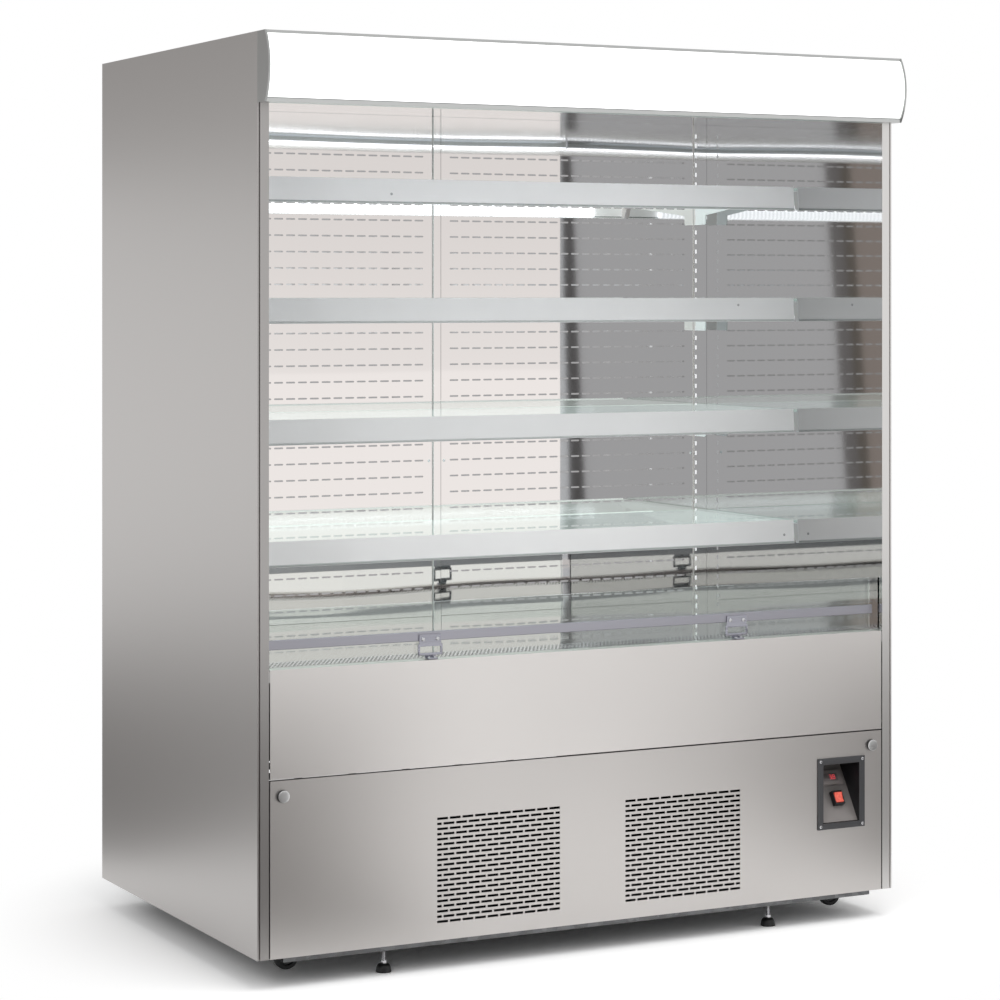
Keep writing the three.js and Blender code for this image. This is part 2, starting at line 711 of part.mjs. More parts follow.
function servicePanel() {
  const top = SERVICE_PANEL_HEIGHT;
  const skin = block(-panelHalf, panelHalf, 0, SHEET, 0, top);
  const returns = [
    block(-panelHalf, -panelHalf + SHEET, SHEET / 2, PANEL_RETURN, 0, top),
    block(panelHalf - SHEET, panelHalf, SHEET / 2, PANEL_RETURN, 0, top),
    block(-panelHalf, panelHalf, SHEET / 2, PANEL_RETURN, top - SHEET, top),
  ];
  const slots = [-VENT_OFFSET, VENT_OFFSET].flatMap(ventSlots);
  const vents = slots.map(([left, right, low, high]) => block(left, right, -1, SHEET + 1, low, high));
  const cut = recessHalf + SEAT_GAP;
  const recess = block(controlCentre - cut, controlCentre + cut, -1, SHEET + 1,
    recessBottom - SEAT_GAP, recessTop + SEAT_GAP);
  const shafts = [-knobPlace, knobPlace].map((x) => (
    bore(x, knobHeight, KNOB_SHAFT_RADIUS + TURNING_GAP, -1, SHEET + 1, 10)));
  return fuse([skin, ...returns], [gather([...vents, recess, ...shafts])]);
}

// The cover behind the machinery stands against the tray's rear lip, between the walls.
function rearCover() {
  const half = panelHalf;
  const inner = BODY_DEPTH - SHEET;
  const top = MACHINE_BAY_HEIGHT - PANEL_SEAM;
  const skin = block(-half, half, inner, BODY_DEPTH, 0, top);
  const fold = block(-half, half, BODY_DEPTH - PANEL_RETURN, inner + SHEET / 2, top - SHEET, top);
  const pitch = REAR_SLOT_LENGTH + REAR_SLOT_WEB;
  const left = -(REAR_SLOT_COLUMNS * pitch - REAR_SLOT_WEB) / 2;
  const slots = [];
  for (let row = 0; row < REAR_SLOT_ROWS; row += 1) {
    const bottom = REAR_SLOT_BOTTOM + row * REAR_ROW_PITCH;
    for (let column = 0; column < REAR_SLOT_COLUMNS; column += 1) {
      const start = left + column * pitch;
      slots.push(block(start, start + REAR_SLOT_LENGTH, inner - 1, BODY_DEPTH + 1, bottom,
        bottom + REAR_SLOT_HEIGHT));
    }
  }
  return fuse([skin, fold], [gather(slots)]);
}

// A knob: domed head, shaft through the panel and a tongue behind it, all turned about Y.
function knob(side) {
  const head = turnedForward([
    [0, SEAT_GAP], [KNOB_RADIUS, SEAT_GAP], [KNOB_RADIUS, KNOB_DEPTH * 0.45],
    [KNOB_RADIUS * 0.82, KNOB_DEPTH * 0.8], [KNOB_RADIUS * 0.45, KNOB_DEPTH * 0.97], [0, KNOB_DEPTH],
  ], 14);
  const shaft = turnedForward([
    [0, -KNOB_REACH], [KNOB_SHAFT_RADIUS, -KNOB_REACH], [KNOB_SHAFT_RADIUS, 1], [0, 1],
  ], 8);
  const half = KNOB_TONGUE_WIDTH / 2;
  const [left, right] = side < 0 ? [-KNOB_TONGUE_LENGTH, half] : [-half, KNOB_TONGUE_LENGTH];
  const tongue = block(left, right, KNOB_REACH - 2.5, KNOB_REACH - 0.2, -half, half);
  return fuse([head, shaft, tongue]);
}

// The recess's frame, with a screw in each corner.
function controlBezel() {
  const right = bezelLeft + BEZEL_WIDTH;
  const front = -BEZEL_THICKNESS - SEAT_GAP;
  const inside = recessHalf - CONTROL_BOX_WALL;
  const window = block(controlCentre - inside, controlCentre + inside, front - 1, 1,
    recessBottom, recessTop - CONTROL_BOX_WALL);
  const frame = fuse([block(bezelLeft, right, front, -SEAT_GAP, BEZEL_BOTTOM, bezelTop)], [window]);
  const columns = [bezelLeft + BEZEL_SCREW_INSET, right - BEZEL_SCREW_INSET];
  const rows = [BEZEL_BOTTOM + BEZEL_SCREW_INSET, bezelTop - BEZEL_SCREW_INSET];
  const screws = columns.flatMap((x) => rows.map((z) => (
    turnedForward(domeProfile(BEZEL_SCREW_RADIUS), 6).translate(x, front, z))));
  return fuse([frame, ...screws]);
}

// The recess is a three-sided hood: two tapering cheeks and a top, open to the front.
function controlBox() {
  const left = controlCentre - recessHalf;
  const right = controlCentre + recessHalf;
  const cheek = [
    [0, recessBottom], [6, recessBottom], [CONTROL_BOX_DEPTH, recessTop - 6],
    [CONTROL_BOX_DEPTH, recessTop], [0, recessTop],
  ];
  return fuse([
    acrossX(cheek, left, left + CONTROL_BOX_WALL),
    acrossX(cheek, right - CONTROL_BOX_WALL, right),
    block(left, right, 0, CONTROL_BOX_DEPTH, recessTop - CONTROL_BOX_WALL, recessTop),
  ]);
}

// The sloping plate and what it carries are drawn flat, standing on the plate's lower edge,
// and the group that holds them leans back.
const plateFoot = [CONTROL_PLATE_RISE, recessBottom + 1];
const plateHead = [CONTROL_BOX_DEPTH - 10, recessTop - CONTROL_BOX_WALL - 3];
const plateLean = Math.atan2(plateHead[0] - plateFoot[0], plateHead[1] - plateFoot[1]);
const plateLength = Math.hypot(plateHead[0] - plateFoot[0], plateHead[1] - plateFoot[1]);
const plateHalf = recessHalf - CONTROL_BOX_WALL - SEAT_GAP;

function controlPlate() {
  const plate = block(-plateHalf, plateHalf, 0, CONTROL_PLATE_THICKNESS, 0, plateLength);
  const gauge = [THERMOSTAT_WIDTH / 2 - THERMOSTAT_BORDER, THERMOSTAT_HEIGHT / 2 - THERMOSTAT_BORDER];
  const cutout = ([across, up], x, z) => block(x - across - SEAT_GAP, x + across + SEAT_GAP,
    -1, CONTROL_PLATE_THICKNESS + 1, z - up - SEAT_GAP, z + up + SEAT_GAP);
  return pierce(plate, [
    cutout(gauge, 0, THERMOSTAT_PLACE),
    cutout(rockerBody(), ROCKER_OFFSET, ROCKER_PLACE),
  ]);
}

function rockerBody() {
  return [ROCKER_HOUSING_WIDTH / 2 - 1.5, ROCKER_HOUSING_HEIGHT / 2 - 1.5];
}

function thermostat() {
  const half = THERMOSTAT_WIDTH / 2;
  const tall = THERMOSTAT_HEIGHT / 2;
  const chamfer = 2;
  const front = -THERMOSTAT_FACE_DEPTH - SEAT_GAP;
  const face = acrossX([
    [-SEAT_GAP, -tall], [-SEAT_GAP, tall], [front + chamfer, tall], [front, tall - chamfer],
    [front, -tall + chamfer], [front + chamfer, -tall],
  ], -half, half);
  const body = block(-half + THERMOSTAT_BORDER, half - THERMOSTAT_BORDER, -SEAT_GAP - 1,
    THERMOSTAT_BODY_DEPTH, -tall + THERMOSTAT_BORDER, tall - THERMOSTAT_BORDER);
  return fuse([face, body]);
}

function rockerHousing() {
  const half = ROCKER_HOUSING_WIDTH / 2;
  const tall = ROCKER_HOUSING_HEIGHT / 2;
  const front = -ROCKER_HOUSING_FACE_DEPTH - SEAT_GAP;
  const [bodyHalf, bodyTall] = rockerBody();
  const collar = block(-half, half, front, -SEAT_GAP, -tall, tall);
  const body = block(-bodyHalf, bodyHalf, -SEAT_GAP - 1, ROCKER_HOUSING_BODY_DEPTH, -bodyTall, bodyTall);
  const wall = ROCKER_HOUSING_WALL;
  const pocket = block(-half + wall, half - wall, front - 1, ROCKER_HOUSING_BODY_DEPTH - wall,
    -tall + wall, tall - wall);
  return fuse([collar, body], [pocket]);
}

// The rocker turns about a cross axle; its profile is drawn round that axle.
function rocker() {
  const half = ROCKER_HOUSING_WIDTH / 2 - ROCKER_HOUSING_WALL - SEAT_GAP;
  const tall = ROCKER_HALF_HEIGHT;
  const front = -ROCKER_AXLE_DEPTH;
  const profile = [
    [ROCKER_BACK, -tall * 0.7], [ROCKER_BACK, tall * 0.7], [0, tall], [front - 1, tall - 1],
    [front + 1.6, 0], [front - 1, -tall + 1], [0, -tall],
  ];
  return acrossX(profile, -half, half);
}

function controls() {
  const group = new THREE.Group();
  placed(group, controlCentre, plateFoot[0], plateFoot[1]);
  group.rotation.x = -plateLean;
  group.add(named('control_plate', controlPlate(), 'greyPlate'));
  group.add(placed(named('thermostat', thermostat(), 'darkMetal'), 0, 0, THERMOSTAT_PLACE));
  const housing = named('rocker_housing', rockerHousing(), 'blackPlastic');
  group.add(placed(housing, ROCKER_OFFSET, 0, ROCKER_PLACE));
  const key = placed(named('rocker', rocker(), 'redRocker'), ROCKER_OFFSET,
    -ROCKER_HOUSING_FACE_DEPTH + ROCKER_AXLE_DEPTH - 3, ROCKER_PLACE);
  key.rotation.x = THREE.MathUtils.degToRad(ROCKER_REST_TILT);
  group.add(key);
  return group;
}

// ---------------------------------------------------------------- shelves

const shelfHalf = innerHalf - SHELF_END_GAP;

// Frame of one shelf: leaning price rail with a ledge under the glass, and a bracket near
// each end. A bracket rises towards the rail from a tab that carries its two hooks.
function shelfFrame(level) {
  const top = shelfTop(level);
  const bottom = top - RAIL_HEIGHT;
  const ledge = bracketTop(level);
  const front = SHELF_FRONT;
  const foot = front - RAIL_LEAN;
  const rail = acrossX([
    [front, top], [foot, bottom], [foot + RAIL_FOOT, bottom], [foot + RAIL_FOOT, bottom + SHEET],
    [foot + RAIL_SHEET, bottom + SHEET], [front + RAIL_SHEET - 1, ledge - SHEET],
    [front + RAIL_LEDGE, ledge - SHEET], [front + RAIL_LEDGE, ledge],
    [front + RAIL_SHEET, ledge], [front + RAIL_SHEET, top],
  ], -shelfHalf, shelfHalf);
  const back = uprightFace - SEAT_GAP;
  const hook = back + HOOK_DEPTH;
  const [upper, lower] = hookSpans(level);
  const under = lower[0] - HOOK_INSET;
  const lampBack = front + RAIL_SHEET + SHELF_LAMP_DEPTH + 4;
  const profile = [
    [front + RAIL_SHEET / 2, ledge - SHEET / 2], [back, ledge - SHEET / 2],
    [back, upper[1]], [hook, upper[1]], [hook, upper[0]], [back, upper[0]],
    [back, lower[1]], [hook, lower[1]], [hook, lower[0]], [back, lower[0]], [back, under],
    [back - BRACKET_TAB_DEPTH + 3, under], [back - BRACKET_TAB_DEPTH, under + 3],
    [back - BRACKET_TAB_DEPTH, ledge - BRACKET_REAR_HEIGHT],
    [lampBack + 60, ledge - BRACKET_FRONT_HEIGHT], [lampBack, ledge - BRACKET_FRONT_HEIGHT * 0.6],
    [front + RAIL_SHEET / 2, ledge - BRACKET_FRONT_HEIGHT * 0.35],
  ];
  const brackets = [-ladderPlace, ladderPlace].map((x) => (
    acrossX(profile, x - BRACKET_THICKNESS / 2, x + BRACKET_THICKNESS / 2)));
  return fuse([rail, ...brackets]);
}

function shelfGlass(level) {
  const top = shelfTop(level) - GLASS_DROP;
  return block(-shelfHalf, shelfHalf, SHELF_FRONT + RAIL_SHEET + SEAT_GAP, uprightFace - GLASS_BACK_GAP,
    top - GLASS_THICKNESS, top);
}

// The light strip stands on the price rail's foot, behind the rail.
function shelfLamp(level) {
  const low = shelfTop(level) - RAIL_HEIGHT + SHEET + SEAT_GAP;
  const high = low + SHELF_LAMP_HEIGHT;
  const front = SHELF_FRONT + RAIL_SHEET + SEAT_GAP;
  const back = front + SHELF_LAMP_DEPTH;
  const profile = [
    [front, low], [back - 4, low], [back, low + 6], [back, high - 3], [back - 3, high],
    [front, high],
  ];
  return acrossX(profile, -shelfHalf + SHELF_LAMP_END_GAP, shelfHalf - SHELF_LAMP_END_GAP);
}

// ---------------------------------------------------------------- base, feet and castors

function baseTray() {
  const lipHalf = innerHalf - TRAY_END_GAP;
  const front = SHEET + SEAT_GAP;
  const back = BODY_DEPTH - front;
  const lips = acrossX([
    [front, -TRAY_LIP], [front + TRAY_LIP_SHEET, -TRAY_LIP], [front + TRAY_LIP_SHEET, TRAY_HEIGHT],
    [back - TRAY_LIP_SHEET, TRAY_HEIGHT], [back - TRAY_LIP_SHEET, -TRAY_LIP], [back, -TRAY_LIP],
    [back, trayTop], [front, trayTop],
  ], -lipHalf, lipHalf);
  const floor = block(-fitHalf, fitHalf, PANEL_RETURN + 2, back, TRAY_HEIGHT, trayTop);
  const pads = castorPlaces().map(([x, y]) => block(x - SWIVEL_PAD_SIDE / 2, x + SWIVEL_PAD_SIDE / 2,
    y - SWIVEL_PAD_SIDE / 2, y + SWIVEL_PAD_SIDE / 2, TRAY_HEIGHT - SWIVEL_PAD, trayTop));
  const bores = footPlaces().map(([x, y]) => turned([
    [0, TRAY_HEIGHT - 1], [FOOT_STUD_RADIUS + TURNING_GAP, TRAY_HEIGHT - 1],
    [FOOT_STUD_RADIUS + TURNING_GAP, trayTop + 1], [0, trayTop + 1],
  ], 10).translate(x, y, 0));
  return fuse([lips, floor, ...pads], bores);
}

function corners(inset, setback) {
  const x = halfWidth - inset;
  return [[-x, setback], [x, setback], [-x, BODY_DEPTH - setback], [x, BODY_DEPTH - setback]];
}

function footPlaces() {
  return corners(FOOT_INSET, FOOT_SETBACK);
}

function castorPlaces() {
  return corners(CASTOR_INSET, CASTOR_SETBACK);
}

// A levelling foot: rubber cup, nut and threaded stud, drawn from the floor up.
function levellingFoot() {
  const nutTop = FOOT_CUP_HEIGHT + FOOT_NUT_HEIGHT;
  return turned([
    [0, 0], [FOOT_CUP_RADIUS - 1, 0], [FOOT_CUP_RADIUS, 2], [FOOT_CUP_RADIUS - 1, 5],
    [FOOT_CUP_RADIUS - 6, FOOT_CUP_HEIGHT - 2], [FOOT_NUT_RADIUS, FOOT_CUP_HEIGHT],
    [FOOT_NUT_RADIUS, nutTop], [FOOT_STUD_RADIUS, nutTop],
    [FOOT_STUD_RADIUS, GROUND_CLEARANCE + FOOT_STUD_TOP], [0, GROUND_CLEARANCE + FOOT_STUD_TOP],
  ], 10);
}

// A castor wheel about a cross axle, with its bore.
function castorWheel() {
  const half = WHEEL_WIDTH / 2;
  const bore = AXLE_RADIUS + TURNING_GAP;
  const rim = WHEEL_RADIUS - WHEEL_EDGE;
  return turned([
    [bore, -half], [rim, -half], [WHEEL_RADIUS, -half + WHEEL_EDGE],
    [WHEEL_RADIUS, half - WHEEL_EDGE], [rim, half], [bore, half], [bore, -half],
  ], 14).rotateX(Math.PI / 2);
}

const axleHeight = CASTOR_LIFT + WHEEL_RADIUS - GROUND_CLEARANCE;

// A castor fork, drawn round the swivel axis with the wheel's axle along Y.
function castorFork() {
  const padBottom = TRAY_HEIGHT - SWIVEL_PAD - SEAT_GAP;
  const crownBottom = axleHeight + WHEEL_RADIUS + 3;
  const inside = WHEEL_WIDTH / 2 + TURNING_GAP;
  const outside = inside + FORK_SHEET;
  const stem = turned([
    [0, crownBottom], [FORK_CROWN_RADIUS, crownBottom], [FORK_CROWN_RADIUS, padBottom], [0, padBottom],
  ], 10);
  const reach = CASTOR_TRAIL + FORK_CHEEK_HALF;
  const crown = block(-FORK_CROWN_RADIUS, CASTOR_TRAIL, -outside, outside, crownBottom,
    crownBottom + FORK_SHEET);
  const cheek = outline([
    [-FORK_CROWN_RADIUS, crownBottom + FORK_SHEET], [-FORK_CROWN_RADIUS, crownBottom - 4],
    [CASTOR_TRAIL - FORK_CHEEK_HALF, axleHeight - 3], [CASTOR_TRAIL, axleHeight - FORK_CHEEK_HALF],
    [reach, axleHeight], [CASTOR_TRAIL, crownBottom + FORK_SHEET],
  ]);
  const axle = turnedForward([
    [0, -outside], [AXLE_RADIUS, -outside], [AXLE_RADIUS, outside], [0, outside],
  ], 8).translate(CASTOR_TRAIL, 0, axleHeight);
  return fuse([stem, crown, alongY(cheek, -outside, -inside), alongY(cheek, inside, outside), axle]);
}

function castors() {
  const group = new THREE.Group();
  castorPlaces().forEach(([x, y], index) => {
    const turn = x < 0 ? Math.PI : 0;
    const fork = named(`castor_fork_${index + 1}`, castorFork(), 'galvanised');
    fork.rotation.z = turn;
    group.add(placed(fork, x, y, 0));
    const trail = x < 0 ? -CASTOR_TRAIL : CASTOR_TRAIL;
    const wheel = named(`castor_wheel_${index + 1}`, castorWheel(), 'blackPlastic');
    group.add(placed(wheel, x + trail, y, axleHeight));
  });
  return group;
}

// ---------------------------------------------------------------- machinery

// A motor on two arms behind a round opening; the fan runs in the opening.
function motorOnArms(armHalf, motorFront, radius, length) {
  const motor = turnedForward([
    [0, -length], [radius, -length], [radius, -4], [radius * 0.6, 0], [0, 0],
  ], 10).translate(0, motorFront, 0);
  const arm = block(-armHalf, armHalf, motorFront + 5, motorFront + 9,
    -MOTOR_ARM_WIDTH / 2, MOTOR_ARM_WIDTH / 2);
  return [motor, arm];
}

// A propeller fan about Y, drawn from its hub's back face at y = 0.
function fan(radius, hubRadius, hubLength, chord) {
  const hub = turnedForward([
    [0, 0], [hubRadius, 0], [hubRadius, hubLength - 4], [hubRadius - 5, hubLength], [0, hubLength],
  ], 12);
  const blades = Array.from({ length: FAN_BLADES }, (unused, index) => {
    const shape = outline([
      [hubRadius * 0.6, -chord * 0.3], [radius * 0.9, -chord / 2], [radius, -chord * 0.2],
      [radius, chord * 0.35], [radius * 0.85, chord / 2], [hubRadius * 0.6, chord * 0.25],
    ]);
    const blade = alongY(shape, -1, 1);
    blade.rotateX(THREE.MathUtils.degToRad(FAN_PITCH));
    blade.rotateY((2 * Math.PI * index) / FAN_BLADES);
    return blade.translate(0, -hubLength / 2, 0);
  });
  return fuse([hub, ...blades]);
}

const condenserBottom = trayTop + SEAT_GAP;
const condenserMiddle = condenserBottom + CONDENSER_HEIGHT / 2;
const condenserBack = CONDENSER_SETBACK + CONDENSER_DEPTH;
const shroudBack = condenserBack + SHROUD_DEPTH;
const fanBack = shroudBack - 4;

// Condenser: finned block between end plates, with a shroud, its round mouth and the fan's motor.
function condenser() {
  const half = CONDENSER_WIDTH / 2;
  const top = condenserBottom + CONDENSER_HEIGHT;
  const core = block(-half, half, CONDENSER_SETBACK + 4, condenserBack, condenserBottom + 4, top - 4);
  const pitch = CONDENSER_WIDTH / CONDENSER_FINS;
  const grooves = Array.from({ length: CONDENSER_FINS - 1 }, (unused, index) => {
    const x = -half + (index + 1) * pitch;
    return block(x - pitch * 0.3, x + pitch * 0.3, CONDENSER_SETBACK, CONDENSER_SETBACK + 18,
      condenserBottom + 12, top - 12);
  });
  const mouth = FAN_RADIUS + FAN_TIP_GAP;
  const coverFront = shroudBack - 20;
  const cover = block(-half, half, coverFront, coverFront + 2, condenserBottom, top);
  const rim = bore(0, condenserMiddle, mouth + 2.5, coverFront + 1, shroudBack, 20);
  const opening = bore(0, condenserMiddle, mouth, coverFront - 1, shroudBack + 1, 20);
  const sides = [-1, 1].map((side) => block(side * half - 1.5, side * half + 1.5,
    CONDENSER_SETBACK, coverFront + 2, condenserBottom, top));
  const lid = block(-half, half, condenserBack - 1, coverFront + 2, top - 2, top);
  const sill = block(-half, half, condenserBack - 1, coverFront + 2, condenserBottom, condenserBottom + 2);
  const drive = motorOnArms(FAN_RADIUS + FAN_TIP_GAP + 10, fanBack + TURNING_GAP, MOTOR_RADIUS,
    MOTOR_LENGTH).map((piece) => piece.translate(0, 0, condenserMiddle));
  const struts = [-1, 1].map((side) => {
    const x = side * (FAN_RADIUS + FAN_TIP_GAP + 6);
    return block(x - 4, x + 4, coverFront + 1, fanBack + TURNING_GAP + 9,
      condenserMiddle - MOTOR_ARM_WIDTH / 2, condenserMiddle + MOTOR_ARM_WIDTH / 2);
  });
  const shell = fuse([core, cover, rim, ...sides, lid, sill], [...grooves, opening]);
  return fuse([shell, ...drive, ...struts]);
}

function compressor() {
  const base = trayTop + SEAT_GAP;
  const low = base + COMPRESSOR_FOOT_HEIGHT;
  const high = low + COMPRESSOR_HEIGHT;
  const seam = low + COMPRESSOR_SEAM_HEIGHT;
  const radius = COMPRESSOR_RADIUS;
  const shell = turned([
    [0, low - 4], [radius * 0.75, low - 4], [radius * 0.96, low + 12],
    [radius * 0.98, seam - 4], [radius * 1.03, seam], [radius * 1.03, seam + COMPRESSOR_SEAM_BAND],
    [radius * 0.98, seam + COMPRESSOR_SEAM_BAND + 4], [radius * 0.95, high - 50], [radius * 0.78, high - 18],
    [radius * 0.45, high - 3], [0, high],
  ], 14);
  const half = COMPRESSOR_FOOT / 2;
  const foot = block(-half, half, -radius * 0.6, radius * 0.6, low - 6, low - 2);
  const mounts = [-1, 1].flatMap((side) => [-1, 1].map((end) => turned([
    [0, base], [9, base], [9, low - 4], [0, low - 4],
  ], 8).translate(side * (half - 14), end * (radius * 0.6 - 14), 0)));
  return fuse([shell, foot, ...mounts]);
}

const coilBottom = wellFloorTop + SEAT_GAP;
const coilMiddle = coilBottom + COIL_PLATE_HEIGHT / 2;
const coilFanFront = COIL_SETBACK - COIL_FAN_AHEAD;

// Evaporator: finned coil on end plates under the deck, with a plate that carries its fan.
function evaporator() {
  const half = innerHalf - COIL_END_GAP;
  const low = coilBottom + COIL_LEG;
  const back = COIL_SETBACK + COIL_DEPTH;
  const core = block(-half, half, COIL_SETBACK, back, low, low + COIL_HEIGHT);
  const pitch = (2 * half) / COIL_FINS;
  const grooves = Array.from({ length: COIL_FINS - 1 }, (unused, index) => {
    const x = -half + (index + 1) * pitch;
    return block(x - pitch * 0.3, x + pitch * 0.3, COIL_SETBACK - 1, COIL_SETBACK + 20,
      low + 8, low + COIL_HEIGHT - 8);
  });
  const plates = [-1, 1].map((side) => block(side * half - 1.5, side * half + 1.5,
    coilFanFront, back, coilBottom, low + COIL_HEIGHT));
  const front = coilFanFront;
  const baffle = fuse([block(-half, half, front, front + SHEET, coilBottom, coilBottom + COIL_PLATE_HEIGHT)],
    [bore(0, coilMiddle, COIL_FAN_RADIUS + FAN_TIP_GAP, front - 1, front + SHEET + 1, 20)]);
  const drive = motorOnArms(COIL_FAN_RADIUS + FAN_TIP_GAP + 10, front + 14 + TURNING_GAP, MOTOR_RADIUS / 2,
    MOTOR_LENGTH / 2).map((piece) => piece.translate(0, 0, coilMiddle));
  const struts = [-1, 1].map((side) => {
    const x = side * (COIL_FAN_RADIUS + FAN_TIP_GAP + 7);
    return block(x - 4, x + 4, front + 1, front + 23 + TURNING_GAP,
      coilMiddle - MOTOR_ARM_WIDTH / 2, coilMiddle + MOTOR_ARM_WIDTH / 2);
  });
  return fuse([core, ...plates, baffle, ...drive, ...struts], grooves);
}

// ---------------------------------------------------------------- assembly

function cabinet() {
  const group = new THREE.Group();
  group.add(named('side_wall_left', sideWall(-1), 'satinSteel'));
  group.add(named('side_wall_right', sideWall(1), 'satinSteel'));
  group.add(named('foamed_body', foamedBody(), 'mirrorSteel'));
  group.add(named('roof', roof(), 'satinSteel'));
  group.add(named('air_outlet', airOutlet(), 'aluminium'));
  group.add(named('ceiling_lamp', ceilingLamp(), 'litLens'));
  group.add(named('upright_left', upright(-1), 'mirrorSteel'));
  group.add(named('upright_right', upright(1), 'mirrorSteel'));
  group.add(named('joint_strip', jointStrip(), 'mirrorSteel'));
  group.add(named('back_panel_left', backPanel(-1), 'mirrorSteel'));
  group.add(named('back_panel_right', backPanel(1), 'mirrorSteel'));
  group.add(named('deck_pan', deckPan(), 'mirrorSteel'));
  group.add(named('return_grille', returnGrille(), 'mirrorSteel'));
  group.add(named('upper_panel', upperPanel(), 'satinSteel'));
  group.add(named('base_tray', baseTray(), 'galvanised'));
  group.add(named('rear_cover', rearCover(), 'galvanised'));
  return group;
}

function canopy() {
  const group = new THREE.Group();
  group.add(named('canopy_housing', canopyHousing(), 'paleRail'));
  group.add(named('canopy_lens', canopyLens(), 'litLens'));
  return group;
}

function guard() {
  const group = new THREE.Group();
  group.add(named('guard_glass', guardGlass(), 'clearGlass'));
  group.add(named('guard_rail', guardRail(), 'aluminium'));
  group.add(named('guard_clamp_left', guardClamp(-CLAMP_OFFSET), 'aluminium'));
  group.add(named('guard_clamp_right', guardClamp(CLAMP_OFFSET), 'aluminium'));
  return group;
}

function service() {
  const group = new THREE.Group();
  group.add(named('service_panel', servicePanel(), 'satinSteel'));
  group.add(placed(named('knob_left', knob(-1), 'chrome'), -knobPlace, 0, knobHeight));
  group.add(placed(named('knob_right', knob(1), 'chrome'), knobPlace, 0, knobHeight));
  group.add(named('control_bezel', controlBezel(), 'darkMetal'));
  group.add(named('control_box', controlBox(), 'blackPlastic'));
  group.add(controls());
  return group;
}

function shelves() {
  const group = new THREE.Group();
  for (let level = 0; level < SHELF_COUNT; level += 1) {
    group.add(named(`shelf_frame_${level + 1}`, shelfFrame(level), 'paleRail'));
    group.add(named(`shelf_glass_${level + 1}`, shelfGlass(level), 'clearGlass'));
    group.add(named(`shelf_lamp_${level + 1}`, shelfLamp(level), 'litLens'));
  }
  return group;
}

function feet() {
  const group = new THREE.Group();
  footPlaces().forEach(([x, y], index) => {
    const foot = named(`foot_${index + 1}`, levellingFoot(), 'chrome');
    group.add(placed(foot, x, y, -GROUND_CLEARANCE));
  });
  return group;
}

function machinery() {
  const group = new THREE.Group();
  group.add(placed(named('condenser', condenser(), 'coil'), -VENT_OFFSET, 0, 0));
  const rotor = named('condenser_fan', fan(FAN_RADIUS, FAN_HUB_RADIUS, FAN_HUB_LENGTH, FAN_BLADE_CHORD),
    'darkMetal');
  group.add(placed(rotor, -VENT_OFFSET, fanBack, condenserMiddle));
  group.add(placed(named('compressor', compressor(), 'blackPlastic'), halfWidth - COMPRESSOR_INSET,
    COMPRESSOR_SETBACK, 0));
  group.add(named('evaporator', evaporator(), 'coil'));
  const small = named('evaporator_fan', fan(COIL_FAN_RADIUS, 12, 10, 22), 'darkMetal');
  group.add(placed(small, 0, coilFanFront + 14, coilMiddle));
  return group;
}

const fridge = new THREE.Group();
fridge.position.set(0, -middleY, GROUND_CLEARANCE);
fridge.add(cabinet(), canopy(), guard(), service(), shelves(), feet(), castors(), machinery());

const model = new THREE.Group();
model.add(fridge);

export default model;
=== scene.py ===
# %% [markdown]
# # An open multideck display fridge
# A shop fridge without doors: cold air falls like a curtain in front of its shelves. The packed
# CAD model gives every piece its size and place, and this lesson gives it its looks: ground and
# polished stainless steel, lit covers, glass, punched sheet and the small hardware. Lengths are
# metres, +X is the right-hand side seen from the front, and the open front faces -Y.

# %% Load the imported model
import math

import bmesh
import bpy
from mathutils import Matrix, Vector


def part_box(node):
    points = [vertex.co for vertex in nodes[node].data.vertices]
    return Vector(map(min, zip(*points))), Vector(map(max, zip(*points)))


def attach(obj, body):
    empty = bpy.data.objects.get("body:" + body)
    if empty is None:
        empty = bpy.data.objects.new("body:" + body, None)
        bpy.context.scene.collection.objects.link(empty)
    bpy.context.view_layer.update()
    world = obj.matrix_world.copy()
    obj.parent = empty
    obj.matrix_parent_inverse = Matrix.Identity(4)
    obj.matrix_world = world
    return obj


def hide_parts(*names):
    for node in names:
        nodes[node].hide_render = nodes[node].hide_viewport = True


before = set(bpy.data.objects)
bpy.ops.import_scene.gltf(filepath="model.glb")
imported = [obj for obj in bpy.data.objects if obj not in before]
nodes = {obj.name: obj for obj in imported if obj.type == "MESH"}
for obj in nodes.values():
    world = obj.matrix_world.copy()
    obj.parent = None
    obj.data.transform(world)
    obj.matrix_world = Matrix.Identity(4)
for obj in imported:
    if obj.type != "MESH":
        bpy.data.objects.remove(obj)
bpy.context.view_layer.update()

# %% [markdown]
# ## Small helpers
# Everything below is measured in millimetres on the real fridge, so one function turns them into
# metres. Another turns a colour as a painter writes it, in sRGB hex, into the linear light that
# Blender mixes. The last one adds one shader or geometry node with its settings and its links.

# %% Units, colours and nodes
def mm(length):
    return length / 1000


def colour(hex_code):
    """Linear RGBA of an sRGB colour such as '#c0c0c0'."""
    parts = [int(hex_code[i:i + 2], 16) / 255 for i in (1, 3, 5)]
    linear = [c / 12.92 if c <= 0.04045 else ((c + 0.055) / 1.055) ** 2.4 for c in parts]
    return (*linear, 1.0)


def add_node(tree, kind, inputs=None, **settings):
    """A node of that kind; its inputs are values, or sockets of other nodes to link from."""
    node = tree.nodes.new(kind)
    for name, value in settings.items():
        setattr(node, name, value)
    for name, value in (inputs or {}).items():
        if isinstance(value, bpy.types.NodeSocket):
            tree.links.new(value, node.inputs[name])
        else:
            node.inputs[name].default_value = value
    return node


print("satin grey in linear light:", [round(c, 3) for c in colour("#b9b5b1")])

# %% [markdown]
# ## Camera
# The photograph was taken from the left front, with a long lens, standing back about six metres.
# Its upright edges are parallel, so the camera was held level and its lens was shifted down. The
# place and the turn were solved from the edges of the fridge's body.

